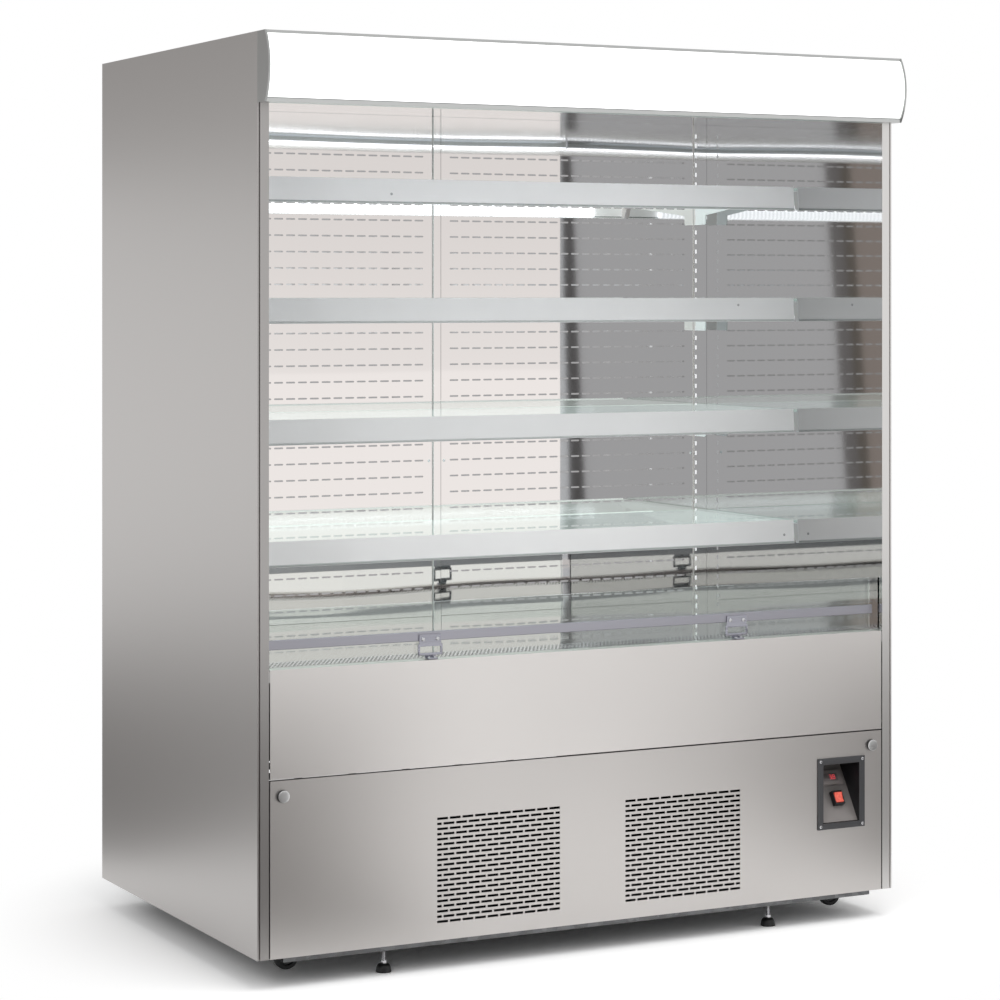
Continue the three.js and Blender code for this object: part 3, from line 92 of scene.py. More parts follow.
# %% Place the camera
PHOTO_SIDE = 1000                    # pixels, a square photograph
FOCAL_PIXELS = 2850.4
HORIZON_PIXEL = 295.0                # the row of the photograph that lies at the lens's height
CAMERA_PLACE = Vector((-2.9343, -5.6667, 1.3832))
CAMERA_YAW = 27.39                   # degrees, to the right of straight ahead

camera_data = bpy.data.cameras.new("photo_camera")
camera_data.sensor_width = 36
camera_data.lens = 36 * FOCAL_PIXELS / PHOTO_SIDE
camera_data.shift_y = (HORIZON_PIXEL - PHOTO_SIDE / 2) / PHOTO_SIDE
camera_data.clip_end = 200
camera = bpy.data.objects.new("photo_camera", camera_data)
camera.location = CAMERA_PLACE
camera.rotation_euler = (math.pi / 2, 0, math.radians(-CAMERA_YAW))
bpy.context.scene.collection.objects.link(camera)
bpy.context.scene.camera = camera
print("lens %.1f mm, shift %.3f" % (camera_data.lens, camera_data.shift_y))

# %% [markdown]
# ## Studio
# The room is white all round. Lamps give the light, and the world fills the shadows. Rays from the
# camera, from mirrors and through glass see plain white, so that the steel and the glass show the
# same room as the picture. The floor is pale and keeps the fridge's shadow.

# %% White room
scene = bpy.context.scene
scene.view_settings.view_transform = "Standard"
ROOM_FILL = 0.62

world = bpy.data.worlds.new("white_room")
world.use_nodes = True
world.node_tree.nodes.clear()
scene.world = world
sky = world.node_tree
light_path = add_node(sky, "ShaderNodeLightPath")
seen_or_mirrored = add_node(sky, "ShaderNodeMath", {
    0: light_path.outputs["Is Camera Ray"], 1: light_path.outputs["Is Glossy Ray"]}, operation="MAXIMUM")
seen_at_all = add_node(sky, "ShaderNodeMath", {
    0: seen_or_mirrored.outputs[0], 1: light_path.outputs["Is Transmission Ray"]}, operation="MAXIMUM")
fill = add_node(sky, "ShaderNodeBackground", {"Color": (1, 1, 1, 1), "Strength": ROOM_FILL})
white = add_node(sky, "ShaderNodeBackground", {"Color": (1, 1, 1, 1), "Strength": 1.0})
direction = add_node(sky, "ShaderNodeTexCoord")
height = add_node(sky, "ShaderNodeSeparateXYZ", {"Vector": direction.outputs["Generated"]})
ceiling = add_node(sky, "ShaderNodeMapRange", {
    "Value": height.outputs["Z"], "From Min": -0.09, "From Max": 0.05, "To Min": 1.0, "To Max": 0.83},
    interpolation_type="SMOOTHSTEP")
dimmed = add_node(sky, "ShaderNodeMix", {
    0: light_path.outputs["Is Glossy Ray"], 2: 1.0, 3: ceiling.outputs[0]}, data_type="FLOAT")
sky.links.new(dimmed.outputs[0], white.inputs["Strength"])
choice = add_node(sky, "ShaderNodeMixShader", {
    0: seen_at_all.outputs[0], 1: fill.outputs[0], 2: white.outputs[0]})
add_node(sky, "ShaderNodeOutputWorld", {"Surface": choice.outputs[0]})


def soft_lamp(name, place, target, size, power):
    data = bpy.data.lights.new(name, "AREA")
    data.shape = "SQUARE"
    data.size = size
    data.energy = power
    lamp = bpy.data.objects.new(name, data)
    lamp.location = place
    lamp.rotation_euler = (Vector(target) - Vector(place)).to_track_quat("-Z", "Y").to_euler()
    lamp.visible_glossy = False
    scene.collection.objects.link(lamp)


soft_lamp("overhead_softbox", (0.4, -1.6, 4.6), (0, 0, 0.6), 3.4, 95)
soft_lamp("left_softbox", (-4.2, -3.4, 2.8), (0, 0, 0.9), 2.4, 60)
soft_lamp("right_softbox", (4.4, -3.6, 2.6), (0, 0, 0.9), 2.4, 38)

# %% [markdown]
# The floor is one large sheet. The camera sees it a little brighter than it is, so that paper white
# surrounds the shadow, and farther than about a metre from the fridge's middle it is plain white.
# Neither adds light to the fridge. Upright sheets stand beside the camera: the fridge's polished
# corner sends every ray back where it came from, and there the real room had a grey partition with
# a pale and a dark edge, and darker walls past it. Grey flags, as photographers call them, stand
# and lie low in front of the fridge and beside it: they make the satin sheet darker towards its
# ends, so that one sees its sheen. Only mirrors see all these sheets.

# %% Floor and grey partition
def flat_mesh(name, corners, faces):
    mesh = bpy.data.meshes.new(name)
    mesh.from_pydata([Vector(c) for c in corners], [], faces)
    thing = bpy.data.objects.new(name, mesh)
    scene.collection.objects.link(thing)
    return thing


def paper_floor(name, seen_tone, near, far):
    """White paper: a real surface near the fridge, plain white to the eye from far outwards."""
    made = bpy.data.materials.new(name)
    made.use_nodes = True
    tree = made.node_tree
    tree.nodes.clear()
    ray = add_node(tree, "ShaderNodeLightPath")
    tone = add_node(tree, "ShaderNodeMix", {
        0: ray.outputs["Is Camera Ray"], 6: (0.85, 0.85, 0.85, 1), 7: (seen_tone, seen_tone, seen_tone, 1)},
        data_type="RGBA")
    paper = add_node(tree, "ShaderNodeBsdfDiffuse", {"Color": tone.outputs[2]})
    glow = add_node(tree, "ShaderNodeEmission", {"Color": (1, 1, 1, 1), "Strength": 1.0})
    source = add_node(tree, "ShaderNodeTexCoord")
    reach = add_node(tree, "ShaderNodeVectorMath", {0: source.outputs["Object"]}, operation="LENGTH")
    outside = add_node(tree, "ShaderNodeMapRange", {
        "Value": reach.outputs["Value"], "From Min": near, "From Max": far}, interpolation_type="SMOOTHSTEP")
    seen = add_node(tree, "ShaderNodeMath", {
        0: ray.outputs["Is Camera Ray"], 1: ray.outputs["Is Glossy Ray"]}, operation="MAXIMUM")
    seen_too = add_node(tree, "ShaderNodeMath", {
        0: seen.outputs[0], 1: ray.outputs["Is Transmission Ray"]}, operation="MAXIMUM")
    share = add_node(tree, "ShaderNodeMath", {
        0: seen_too.outputs[0], 1: outside.outputs[0]}, operation="MULTIPLY")
    mix = add_node(tree, "ShaderNodeMixShader", {
        0: share.outputs[0], 1: paper.outputs[0], 2: glow.outputs[0]})
    add_node(tree, "ShaderNodeOutputMaterial", {"Surface": mix.outputs[0]})
    return made


FLOOR_REACH = 40
floor = flat_mesh("studio_floor", [(-FLOOR_REACH, -FLOOR_REACH, 0), (FLOOR_REACH, -FLOOR_REACH, 0),
                                   (FLOOR_REACH, FLOOR_REACH, 0), (-FLOOR_REACH, FLOOR_REACH, 0)],
                  [(0, 1, 2, 3)])
floor.data.materials.append(paper_floor("white_studio_paper", 1.17, 0.75, 1.2))


def glow_finish(name, hex_code):
    """A plain sheet that shows one even tone, whatever light falls on it."""
    made = bpy.data.materials.new(name)
    made.use_nodes = True
    made.node_tree.nodes.clear()
    glow = add_node(made.node_tree, "ShaderNodeEmission", {"Color": colour(hex_code), "Strength": 1.0})
    add_node(made.node_tree, "ShaderNodeOutputMaterial", {"Surface": glow.outputs[0]})
    return made


def mirror_sheet(name, corners, finish):
    """A sheet that only mirrors see."""
    sheet = flat_mesh(name, corners, [(0, 1, 2, 3)])
    sheet.data.materials.append(finish)
    sheet.visible_camera = False
    sheet.visible_diffuse = False
    sheet.visible_transmission = False
    sheet.visible_shadow = False


STRIP_PLACE = -6.6                   # metres in front of the fridge
STRIP_FOOT, STRIP_TOP = 0.02, 3.2    # metres above the floor


def partition_strip(name, bottom_left, bottom_right, top_left, top_right, finish):
    """An upright strip behind the camera, from left to right as the fridge sees it."""
    mirror_sheet(name, [(bottom_left, STRIP_PLACE, STRIP_FOOT), (bottom_right, STRIP_PLACE, STRIP_FOOT),
                        (top_right, STRIP_PLACE, STRIP_TOP), (top_left, STRIP_PLACE, STRIP_TOP)], finish)


pale_tone = glow_finish("pale_partition_frame", "#e9f1f7")
grey_tone = glow_finish("grey_partition_cloth", "#d1d6da")
dark_tone = glow_finish("dark_partition_edge", "#5c5c5d")
dusk_tone = glow_finish("room_beside_the_partition", "#7d7d7e")
olive_tone = glow_finish("room_in_shadow", "#6e6b65")
warm_tone = glow_finish("warm_wall_of_the_room", "#a59e99")
partition_strip("pale_edge", -2.692, -2.60, -2.597, -2.58, pale_tone)
partition_strip("dark_edge_right", -2.788, -2.692, -2.643, -2.597, dark_tone)
partition_strip("grey_partition", -4.427, -2.788, -4.170, -2.643, grey_tone)
partition_strip("room_strip", -4.524, -4.427, -4.267, -4.170, dusk_tone)
partition_strip("room_strip_in_shadow", -4.589, -4.524, -4.332, -4.267, olive_tone)
partition_strip("room_wall", -5.4, -4.589, -5.1, -4.332, warm_tone)


FLAG_LIFT = 0.004                    # metres between the floor and a flag that lies on it


def upright_flag(name, left_foot, right_foot, bottom, top, finish):
    mirror_sheet(name, [(*left_foot, bottom), (*right_foot, bottom), (*right_foot, top),
                        (*left_foot, top)], finish)


def floor_flag(name, x0, x1, y0, y1, finish):
    mirror_sheet(name, [(x0, y0, FLAG_LIFT), (x1, y0, FLAG_LIFT), (x1, y1, FLAG_LIFT),
                        (x0, y1, FLAG_LIFT)], finish)


flag_tone = glow_finish("grey_flag_cloth", "#777574")
soft_flag_tone = glow_finish("pale_grey_flag_cloth", "#b3b1b0")
upright_flag("flag_front_left", (-2.3, -1.5), (-0.05, -1.5), 0.01, 0.42, flag_tone)
upright_flag("flag_front_right", (1.35, -1.75), (3.9, -1.75), 0.01, 0.42, flag_tone)
floor_flag("flag_floor_left", -2.6, -0.2, -2.9, -0.75, flag_tone)
floor_flag("flag_floor_right", 1.0, 3.9, -2.9, -0.75, flag_tone)
upright_flag("flag_side_high", (-2.6, 1.0), (-1.2, 3.4), 1.75, 3.2, soft_flag_tone)
floor_flag("flag_floor_side", -3.2, -0.95, 0.9, 4.8, flag_tone)
upright_flag("flag_far_side_high", (1.2, 3.4), (2.6, 1.0), 1.75, 3.2, soft_flag_tone)
floor_flag("flag_far_side_floor", 0.95, 3.2, 0.9, 4.8, flag_tone)

# %% [markdown]
# ## Steel
# The outside is stainless sheet ground with a belt to a satin finish. The belt leaves fine
# parallel lines, which blur what the metal mirrors. The real lines are about a tenth of a
# millimetre wide: too fine to show, so they are drawn about a millimetre wide and very shallow.
# The inside is stainless too, but bright-annealed: a mirror with the slow waves of thin sheet.

# %% Ground and bright sheet
def object_place(tree, scale=(1, 1, 1)):
    """Object coordinates in metres, stretched by scale."""
    source = add_node(tree, "ShaderNodeTexCoord")
    return add_node(tree, "ShaderNodeMapping", {
        "Vector": source.outputs["Object"], "Scale": scale}).outputs[0]


def add_glow(finish, hex_code, strength):
    """A faint glow, for light that mirrors and leaks would bring to a face."""
    shader = finish.node_tree.nodes["Principled BSDF"]
    shader.inputs["Emission Color"].default_value = colour(hex_code)
    shader.inputs["Emission Strength"].default_value = strength


def new_finish(name):
    made = bpy.data.materials.new(name)
    made.use_nodes = True
    return made, made.node_tree, made.node_tree.nodes["Principled BSDF"]


def per_metre(size_mm):
    """How many times a pattern of that size repeats in a metre."""
    return 1000 / size_mm


def ground_steel(name, hex_code, grain, roughness=0.36, cloud=0.05):
    """Satin-ground stainless sheet; grain is the axis that the belt ran along."""
    made, tree, shader = new_finish(name)
    across, along = per_metre(1.2), per_metre(90)
    scale = [across, across, across]
    scale["XYZ".index(grain)] = along
    lines = add_node(tree, "ShaderNodeTexNoise", {
        "Vector": object_place(tree, scale), "Scale": 1.0, "Detail": 2.0})
    clouds = add_node(tree, "ShaderNodeTexNoise", {
        "Vector": object_place(tree), "Scale": per_metre(420), "Detail": 1.0})
    dark, pale = [tuple(c * f for c in colour(hex_code)[:3]) + (1,) for f in (1 - cloud, 1 + cloud)]
    tone = add_node(tree, "ShaderNodeMix", {
        0: clouds.outputs["Fac"], 6: dark, 7: pale}, data_type="RGBA")
    gloss = add_node(tree, "ShaderNodeMapRange", {
        "Value": lines.outputs["Fac"], "To Min": roughness - 0.06, "To Max": roughness + 0.06})
    bump = add_node(tree, "ShaderNodeBump", {
        "Height": lines.outputs["Fac"], "Strength": 0.10, "Distance": mm(0.06)})
    tree.links.new(tone.outputs[2], shader.inputs["Base Color"])
    tree.links.new(gloss.outputs[0], shader.inputs["Roughness"])
    tree.links.new(bump.outputs[0], shader.inputs["Normal"])
    shader.inputs["Metallic"].default_value = 1.0
    return made


def buckled_ends(tree, low, high, calm):
    """How deep the waves are: 1 at the low end, calm in the middle, and hollow at the high end."""
    source = add_node(tree, "ShaderNodeTexCoord")
    split = add_node(tree, "ShaderNodeSeparateXYZ", {"Vector": source.outputs["Object"]})
    below = add_node(tree, "ShaderNodeMapRange", {
        "Value": split.outputs["Z"], "From Min": low, "From Max": low + 0.12, "To Min": 1.0, "To Max": calm},
        interpolation_type="SMOOTHSTEP")
    above = add_node(tree, "ShaderNodeMapRange", {
        "Value": split.outputs["Z"], "From Min": high - 0.1, "From Max": high,
        "To Min": 0.0, "To Max": -0.55},
        interpolation_type="SMOOTHSTEP")
    return add_node(tree, "ShaderNodeMath", {0: below.outputs[0], 1: above.outputs[0]}, operation="ADD")


def bright_steel(name, hex_code, roughness=0.10, wave_mm=230, wave_height_mm=0.5, ends=None):
    """Bright-annealed stainless: a mirror with slow waves and a faint haze."""
    made, tree, shader = new_finish(name)
    place = object_place(tree, (0.45, 1, 1))
    waves = add_node(tree, "ShaderNodeTexNoise", {
        "Vector": place, "Scale": per_metre(wave_mm), "Detail": 0.0})
    if ends:
        share = buckled_ends(tree, *ends)
        waves = add_node(tree, "ShaderNodeMath", {
            0: waves.outputs["Fac"], 1: share.outputs[0]}, operation="MULTIPLY")
    haze = add_node(tree, "ShaderNodeTexNoise", {
        "Vector": object_place(tree, (per_metre(60), per_metre(60), per_metre(1.5))), "Scale": 1.0})
    bump = add_node(tree, "ShaderNodeBump", {
        "Height": waves.outputs[0], "Strength": 1.0, "Distance": mm(wave_height_mm)})
    gloss = add_node(tree, "ShaderNodeMapRange", {
        "Value": haze.outputs["Fac"], "To Min": roughness * 0.8, "To Max": roughness * 1.2})
    tree.links.new(gloss.outputs[0], shader.inputs["Roughness"])
    tree.links.new(bump.outputs[0], shader.inputs["Normal"])
    shader.inputs["Base Color"].default_value = colour(hex_code)
    shader.inputs["Metallic"].default_value = 1.0
    return made


def two_sided_steel(name, outside, inside, axis, edge, sign):
    """A folded sheet, ground outside past edge, bright inside, and near black under the deck as painted
    shade.
    """
    made, tree, shader = new_finish(name)
    source = add_node(tree, "ShaderNodeTexCoord")
    split = add_node(tree, "ShaderNodeSeparateXYZ", {"Vector": source.outputs["Object"]})
    side = add_node(tree, "ShaderNodeMath", {0: split.outputs[axis], 1: sign * 1.0}, operation="MULTIPLY")
    out = add_node(tree, "ShaderNodeMath", {0: side.outputs[0], 1: edge}, operation="GREATER_THAN")
    tone = add_node(tree, "ShaderNodeMix", {
        0: out.outputs[0], 6: colour(inside), 7: colour(outside)}, data_type="RGBA")
    under = add_node(tree, "ShaderNodeMath", {0: split.outputs["Z"], 1: DECK_LEVEL}, operation="LESS_THAN")
    hidden = add_node(tree, "ShaderNodeMath", {0: under.outputs[0], 1: out.outputs[0]},
                      operation="SUBTRACT", use_clamp=True)
    shown = add_node(tree, "ShaderNodeMath", {0: 1.0, 1: hidden.outputs[0]}, operation="SUBTRACT")
    # Near black inside the machine bay is painted shade.
    tone = add_node(tree, "ShaderNodeMix", {
        0: shown.outputs[0], 6: colour("#1c1c1e"), 7: tone.outputs[2]}, data_type="RGBA")
    gloss = add_node(tree, "ShaderNodeMapRange", {"Value": out.outputs[0], "To Min": 0.03, "To Max": 0.36})
    lines = add_node(tree, "ShaderNodeTexNoise", {
        "Vector": object_place(tree, (per_metre(1.2), per_metre(1.2), per_metre(90))), "Detail": 2.0,
        "Scale": 1.0})
    ground = add_node(tree, "ShaderNodeMath", {
        0: lines.outputs["Fac"], 1: out.outputs[0]}, operation="MULTIPLY")
    bump = add_node(tree, "ShaderNodeBump", {
        "Height": ground.outputs[0], "Strength": 0.08, "Distance": mm(0.06)})
    tree.links.new(tone.outputs[2], shader.inputs["Base Color"])
    tree.links.new(gloss.outputs[0], shader.inputs["Roughness"])
    tree.links.new(bump.outputs[0], shader.inputs["Normal"])
    tree.links.new(shown.outputs[0], shader.inputs["Metallic"])
    return made


def body_sheet(name, hex_code, duct_start, duct_end, bay_top):
    """The foamed body's skin: bright inside, a painted glow in the duct, painted shade in the bay, grey paint
    behind.
    """
    made = bright_steel(name, hex_code, roughness=0.1)
    tree = made.node_tree
    shader = tree.nodes["Principled BSDF"]
    source = add_node(tree, "ShaderNodeTexCoord")
    split = add_node(tree, "ShaderNodeSeparateXYZ", {"Vector": source.outputs["Object"]})
    duct = add_node(tree, "ShaderNodeMath", {0: split.outputs["Y"], 1: duct_start}, operation="GREATER_THAN")
    above = add_node(tree, "ShaderNodeMath", {0: split.outputs["Z"], 1: bay_top}, operation="GREATER_THAN")
    inside = add_node(tree, "ShaderNodeMath", {0: split.outputs["Y"], 1: duct_end}, operation="LESS_THAN")
    bare = add_node(tree, "ShaderNodeMath", {0: above.outputs[0], 1: inside.outputs[0]}, operation="MULTIPLY")
    stray = add_node(tree, "ShaderNodeMath", {0: duct.outputs[0], 1: bare.outputs[0]}, operation="MULTIPLY")
    glow = add_node(tree, "ShaderNodeMath", {0: stray.outputs[0], 1: DUCT_GLOW}, operation="MULTIPLY")
    grain = add_node(tree, "ShaderNodeTexNoise", {"Vector": object_place(tree), "Scale": per_metre(180)})
    behind = add_node(tree, "ShaderNodeMix", {
        0: grain.outputs["Fac"], 6: colour("#8d9092"), 7: colour("#a3a6a8")}, data_type="RGBA")
    # Near black in the bay is painted shade; the grey behind is paint.
    painted = add_node(tree, "ShaderNodeMix", {
        0: inside.outputs[0], 6: behind.outputs[2], 7: colour("#1c1c1e")}, data_type="RGBA")
    tone = add_node(tree, "ShaderNodeMix", {
        0: bare.outputs[0], 6: painted.outputs[2], 7: colour(hex_code)}, data_type="RGBA")
    tree.links.new(tone.outputs[2], shader.inputs["Base Color"])
    tree.links.new(bare.outputs[0], shader.inputs["Metallic"])
    tree.links.new(glow.outputs[0], shader.inputs["Emission Strength"])
    shader.inputs["Emission Color"].default_value = colour("#f2f4f6")
    return made


DUCT_GLOW = 0.22                     # stands in for light that leaks into the duct behind the slots
WALL_INSIDE = 0.7372                 # the side walls' inner faces lie just inside this, in metres
DECK_LEVEL = 0.612                   # the well's floor; the machine bay lies under it
front_steel = ground_steel("ground_steel_service_panel", "#d9d5d2", "X")
upper_steel = ground_steel("ground_steel_upper_panel", "#eae6e3", "X")
# The walls' front edges are painted light and shade: the right one much lighter than the left one.
left_wall_steel = two_sided_steel("ground_steel_left_wall", "#b3b0ae", "#cbcbcb", "X", WALL_INSIDE, -1)
right_wall_steel = two_sided_steel("ground_steel_right_wall", "#e4e2e0", "#cbcbcb", "X", WALL_INSIDE, 1)
back_steel = bright_steel("bright_steel_back", "#ece6e3", roughness=0.02, wave_mm=260, wave_height_mm=2.2,
                          ends=(0.62, 1.80, 0.05))
# A dark edge tone: painted shade on the joint strip's right chamfer.
shaded_edge_steel = ground_steel("edge_steel_painted_shade", "#7d7b7a", "Z", roughness=0.5)
pale_cut_steel = ground_steel("rolled_edge_of_steel", "#efedec", "Z", roughness=0.5)
# Slot walls: those facing left are painted light, those facing right a darker tone with a dimmer painted
# glow.
lit_slot_steel = ground_steel("slot_wall_of_steel", "#f4f4f4", "Z", roughness=0.4)
add_glow(lit_slot_steel, "#f1f4f6", 0.62)
dim_slot_steel = ground_steel("far_slot_wall_of_steel", "#a8a8a8", "Z", roughness=0.4)
add_glow(dim_slot_steel, "#c4c5c6", 0.55)
liner_steel = bright_steel("bright_steel_liner", "#d6d6d6", roughness=0.1)
body_skin = body_sheet("bright_sheet_grey_paint_painted_shade", "#d6d6d6", 0.3297, 0.462, DECK_LEVEL)
deck_steel = bright_steel("bright_steel_deck", "#d0cfcb", roughness=0.04, wave_mm=210, wave_height_mm=2.4)
print("steel finishes:", [m.name for m in bpy.data.materials if "steel" in m.name])

# %% [markdown]
# Galvanised sheet carries the parts that don't show: it is steel with a skin of zinc crystals,
# some tens of millimetres across, which catch the light one by one. A Voronoi pattern gives each
# crystal its own tone.

# %% Zinc, aluminium, chrome and enamel
def galvanised_sheet(name, hex_code):
    made, tree, shader = new_finish(name)
    crystals = add_node(tree, "ShaderNodeTexVoronoi", {
        "Vector": object_place(tree), "Scale": per_metre(14)})
    level = add_node(tree, "ShaderNodeSeparateXYZ", {"Vector": crystals.outputs["Color"]})
    dark, pale = [tuple(c * f for c in colour(hex_code)[:3]) + (1,) for f in (0.8, 1.15)]
    tone = add_node(tree, "ShaderNodeMix", {0: level.outputs[0], 6: dark, 7: pale}, data_type="RGBA")
    gloss = add_node(tree, "ShaderNodeMapRange", {"Value": level.outputs[1], "To Min": 0.35, "To Max": 0.55})
    tree.links.new(tone.outputs[2], shader.inputs["Base Color"])
    tree.links.new(gloss.outputs[0], shader.inputs["Roughness"])
    shader.inputs["Metallic"].default_value = 1.0
    return made


def lit_from_behind(finish, hex_code, strength, sides=0.0):
    """Faces turned to the polished back, and by the share sides those turned left or right, get a painted
    glow for the light that the back throws on them.
    """
    tree, shader = finish.node_tree, finish.node_tree.nodes["Principled BSDF"]
    source = add_node(tree, "ShaderNodeTexCoord")
    facing = add_node(tree, "ShaderNodeSeparateXYZ", {"Vector": source.outputs["Normal"]})
    sideways = add_node(tree, "ShaderNodeMath", {0: facing.outputs["X"]}, operation="ABSOLUTE")
    less = add_node(tree, "ShaderNodeMath", {0: sideways.outputs[0], 1: sides}, operation="MULTIPLY")
    most = add_node(tree, "ShaderNodeMath", {0: facing.outputs["Y"], 1: less.outputs[0]}, operation="MAXIMUM")
    glow = add_node(tree, "ShaderNodeMapRange", {
        "Value": most.outputs[0], "From Min": 0.3, "From Max": 0.9, "To Min": 0.0, "To Max": strength})
    tree.links.new(glow.outputs[0], shader.inputs["Emission Strength"])
    shader.inputs["Emission Color"].default_value = colour(hex_code)


def enamel(name, hex_code, roughness, peel_mm=2.5):
    """Powder-coated sheet; the powder flows into a skin like orange peel."""
    made, tree, shader = new_finish(name)
    peel = add_node(tree, "ShaderNodeTexNoise", {
        "Vector": object_place(tree), "Scale": per_metre(peel_mm), "Detail": 1.0})
    soil = add_node(tree, "ShaderNodeTexNoise", {"Vector": object_place(tree), "Scale": per_metre(160)})
    dark, pale = [tuple(c * f for c in colour(hex_code)[:3]) + (1,) for f in (0.95, 1.04)]
    tone = add_node(tree, "ShaderNodeMix", {0: soil.outputs["Fac"], 6: dark, 7: pale}, data_type="RGBA")
    gloss = add_node(tree, "ShaderNodeMapRange", {
        "Value": peel.outputs["Fac"], "To Min": roughness - 0.05, "To Max": roughness + 0.05})
    bump = add_node(tree, "ShaderNodeBump", {
        "Height": peel.outputs["Fac"], "Strength": 0.15, "Distance": mm(0.1)})
    tree.links.new(tone.outputs[2], shader.inputs["Base Color"])
    tree.links.new(gloss.outputs[0], shader.inputs["Roughness"])
    tree.links.new(bump.outputs[0], shader.inputs["Normal"])
    return made


def anodised_aluminium(name, hex_code, roughness):
    """Extruded aluminium: drawing lines along X under a thin hard skin."""
    made, tree, shader = new_finish(name)
    lines = add_node(tree, "ShaderNodeTexNoise", {
        "Vector": object_place(tree, (per_metre(150), per_metre(0.8), per_metre(0.8))),
        "Scale": 1.0, "Detail": 2.0})
    gloss = add_node(tree, "ShaderNodeMapRange", {
        "Value": lines.outputs["Fac"], "To Min": roughness - 0.05, "To Max": roughness + 0.05})
    bump = add_node(tree, "ShaderNodeBump", {
        "Height": lines.outputs["Fac"], "Strength": 0.12, "Distance": mm(0.05)})
    tree.links.new(gloss.outputs[0], shader.inputs["Roughness"])
    tree.links.new(bump.outputs[0], shader.inputs["Normal"])
    shader.inputs["Base Color"].default_value = colour(hex_code)
    shader.inputs["Metallic"].default_value = 1.0
    return made


def bright_chrome(name, hex_code):
    """Chrome plating over polished metal, with faint rubbing marks."""
    made, tree, shader = new_finish(name)
    rubs = add_node(tree, "ShaderNodeTexNoise", {
        "Vector": object_place(tree), "Scale": per_metre(6), "Detail": 3.0})
    gloss = add_node(tree, "ShaderNodeMapRange", {
        "Value": rubs.outputs["Fac"], "To Min": 0.04, "To Max": 0.12})
    tree.links.new(gloss.outputs[0], shader.inputs["Roughness"])
    shader.inputs["Base Color"].default_value = colour(hex_code)
    shader.inputs["Metallic"].default_value = 1.0
    return made


zinc = galvanised_sheet("galvanised_sheet", "#9b9fa2")
# The base tray wears a darker copy of the zinc: painted shade under the body.
tray_zinc = galvanised_sheet("galvanised_tray_painted_shade", "#7a7b7c")


def tone_past_ends(finish, hex_code, start):
    """Faces past start on both sides get another tone: darker canopy ends, painted light and shade on walls.
    """
    tree, shader = finish.node_tree, finish.node_tree.nodes["Principled BSDF"]
    source = add_node(tree, "ShaderNodeTexCoord")
    split = add_node(tree, "ShaderNodeSeparateXYZ", {"Vector": source.outputs["Object"]})
    across = add_node(tree, "ShaderNodeMath", {0: split.outputs["X"]}, operation="ABSOLUTE")
    past = add_node(tree, "ShaderNodeMath", {0: across.outputs[0], 1: start}, operation="GREATER_THAN")
    base = shader.inputs["Base Color"]
    plain = base.links[0].from_socket if base.links else tuple(base.default_value)
    tone = add_node(tree, "ShaderNodeMix", {
        0: past.outputs[0], 6: plain, 7: colour(hex_code)}, data_type="RGBA")
    tree.links.new(tone.outputs[2], base)


canopy_metal = anodised_aluminium("anodised_canopy_aluminium", "#c6c7c6", 0.3)
tone_past_ends(canopy_metal, "#b2b3b2", 0.7578)
# The side walls' outer faces get tones of their own as painted light and shade.
tone_past_ends(right_wall_steel, "#c3c0be", 0.7617)
tone_past_ends(left_wall_steel, "#c2bfbd", 0.7617)
lit_from_behind(canopy_metal, "#dfe5e4", 0.5)
rail_metal = anodised_aluminium("anodised_rail_aluminium", "#adacb4", 0.36)
lit_from_behind(rail_metal, "#a9abb0", 0.4)
comb_plastic = enamel("pale_honeycomb_plastic", "#dfe4e8", 0.4, peel_mm=9)
# A faint painted glow, as light, on the honeycomb.
add_glow(comb_plastic, "#c9d3dd", 0.28)
coil_metal = anodised_aluminium("coil_fin_aluminium", "#b4b7b8", 0.4)
# The condenser is darkened to near black as painted shade, so the bay reads dark through the vents.
condenser_metal = anodised_aluminium("near_black_coil_painted_shade", "#26272a", 0.5)
chrome = bright_chrome("chrome_plate", "#d8d8da")
knob_plate = ground_steel("satin_chrome_plate", "#e6e6e6", "X", roughness=0.3)
rail_enamel = enamel("pale_powder_coat", "#f1f1f1", 0.38)
lit_from_behind(rail_enamel, "#d9e2e5", 0.6, sides=0.75)
# The middle shelves' rails wear a darker copy of the same coat: painted shade.
middle_rail_enamel = enamel("powder_coat_middle_shelves_painted_shade", "#dcdddd", 0.38)
lit_from_behind(middle_rail_enamel, "#d9e2e5", 0.55, sides=0.75)
lip_enamel = enamel("shaded_powder_coat", "#b4b8b7", 0.3)
cap_enamel = enamel("powder_coat_of_rail_ends", "#a0a2a2", 0.45)
lit_from_behind(cap_enamel, "#d6d8d8", 0.6, sides=1.0)
clamp_steel = ground_steel("ground_steel_clamp", "#aaaab3", "X", roughness=0.26)
bezel_enamel = enamel("charcoal_powder_coat", "#3d3d3f", 0.42)
plate_enamel = enamel("warm_grey_powder_coat", "#7f7a78", 0.45)
shell_enamel = enamel("black_compressor_enamel", "#191a1c", 0.25, peel_mm=4)
print("metals and coats:", len(bpy.data.materials))

# %% [markdown]
# ## Plastic, rubber and light
# Moulded parts copy the fine spark-worn texture of their mould. The lit covers are opal acrylic
# with light-emitting diodes behind: the canopy glows evenly and falls off a little at its ends,
# while the shelf lamps show their diodes as a row of brighter dots, 12 mm apart.

# %% Moulded plastic and rubber
def moulded_plastic(name, hex_code, roughness, texture_mm=0.9):
    made, tree, shader = new_finish(name)
    texture = add_node(tree, "ShaderNodeTexNoise", {
        "Vector": object_place(tree), "Scale": per_metre(texture_mm), "Detail": 2.0})
    gloss = add_node(tree, "ShaderNodeMapRange", {
        "Value": texture.outputs["Fac"], "To Min": roughness - 0.08, "To Max": roughness + 0.08})
    bump = add_node(tree, "ShaderNodeBump", {
        "Height": texture.outputs["Fac"], "Strength": 0.2, "Distance": mm(0.08)})
    tree.links.new(gloss.outputs[0], shader.inputs["Roughness"])
    tree.links.new(bump.outputs[0], shader.inputs["Normal"])
    shader.inputs["Base Color"].default_value = colour(hex_code)
    return made


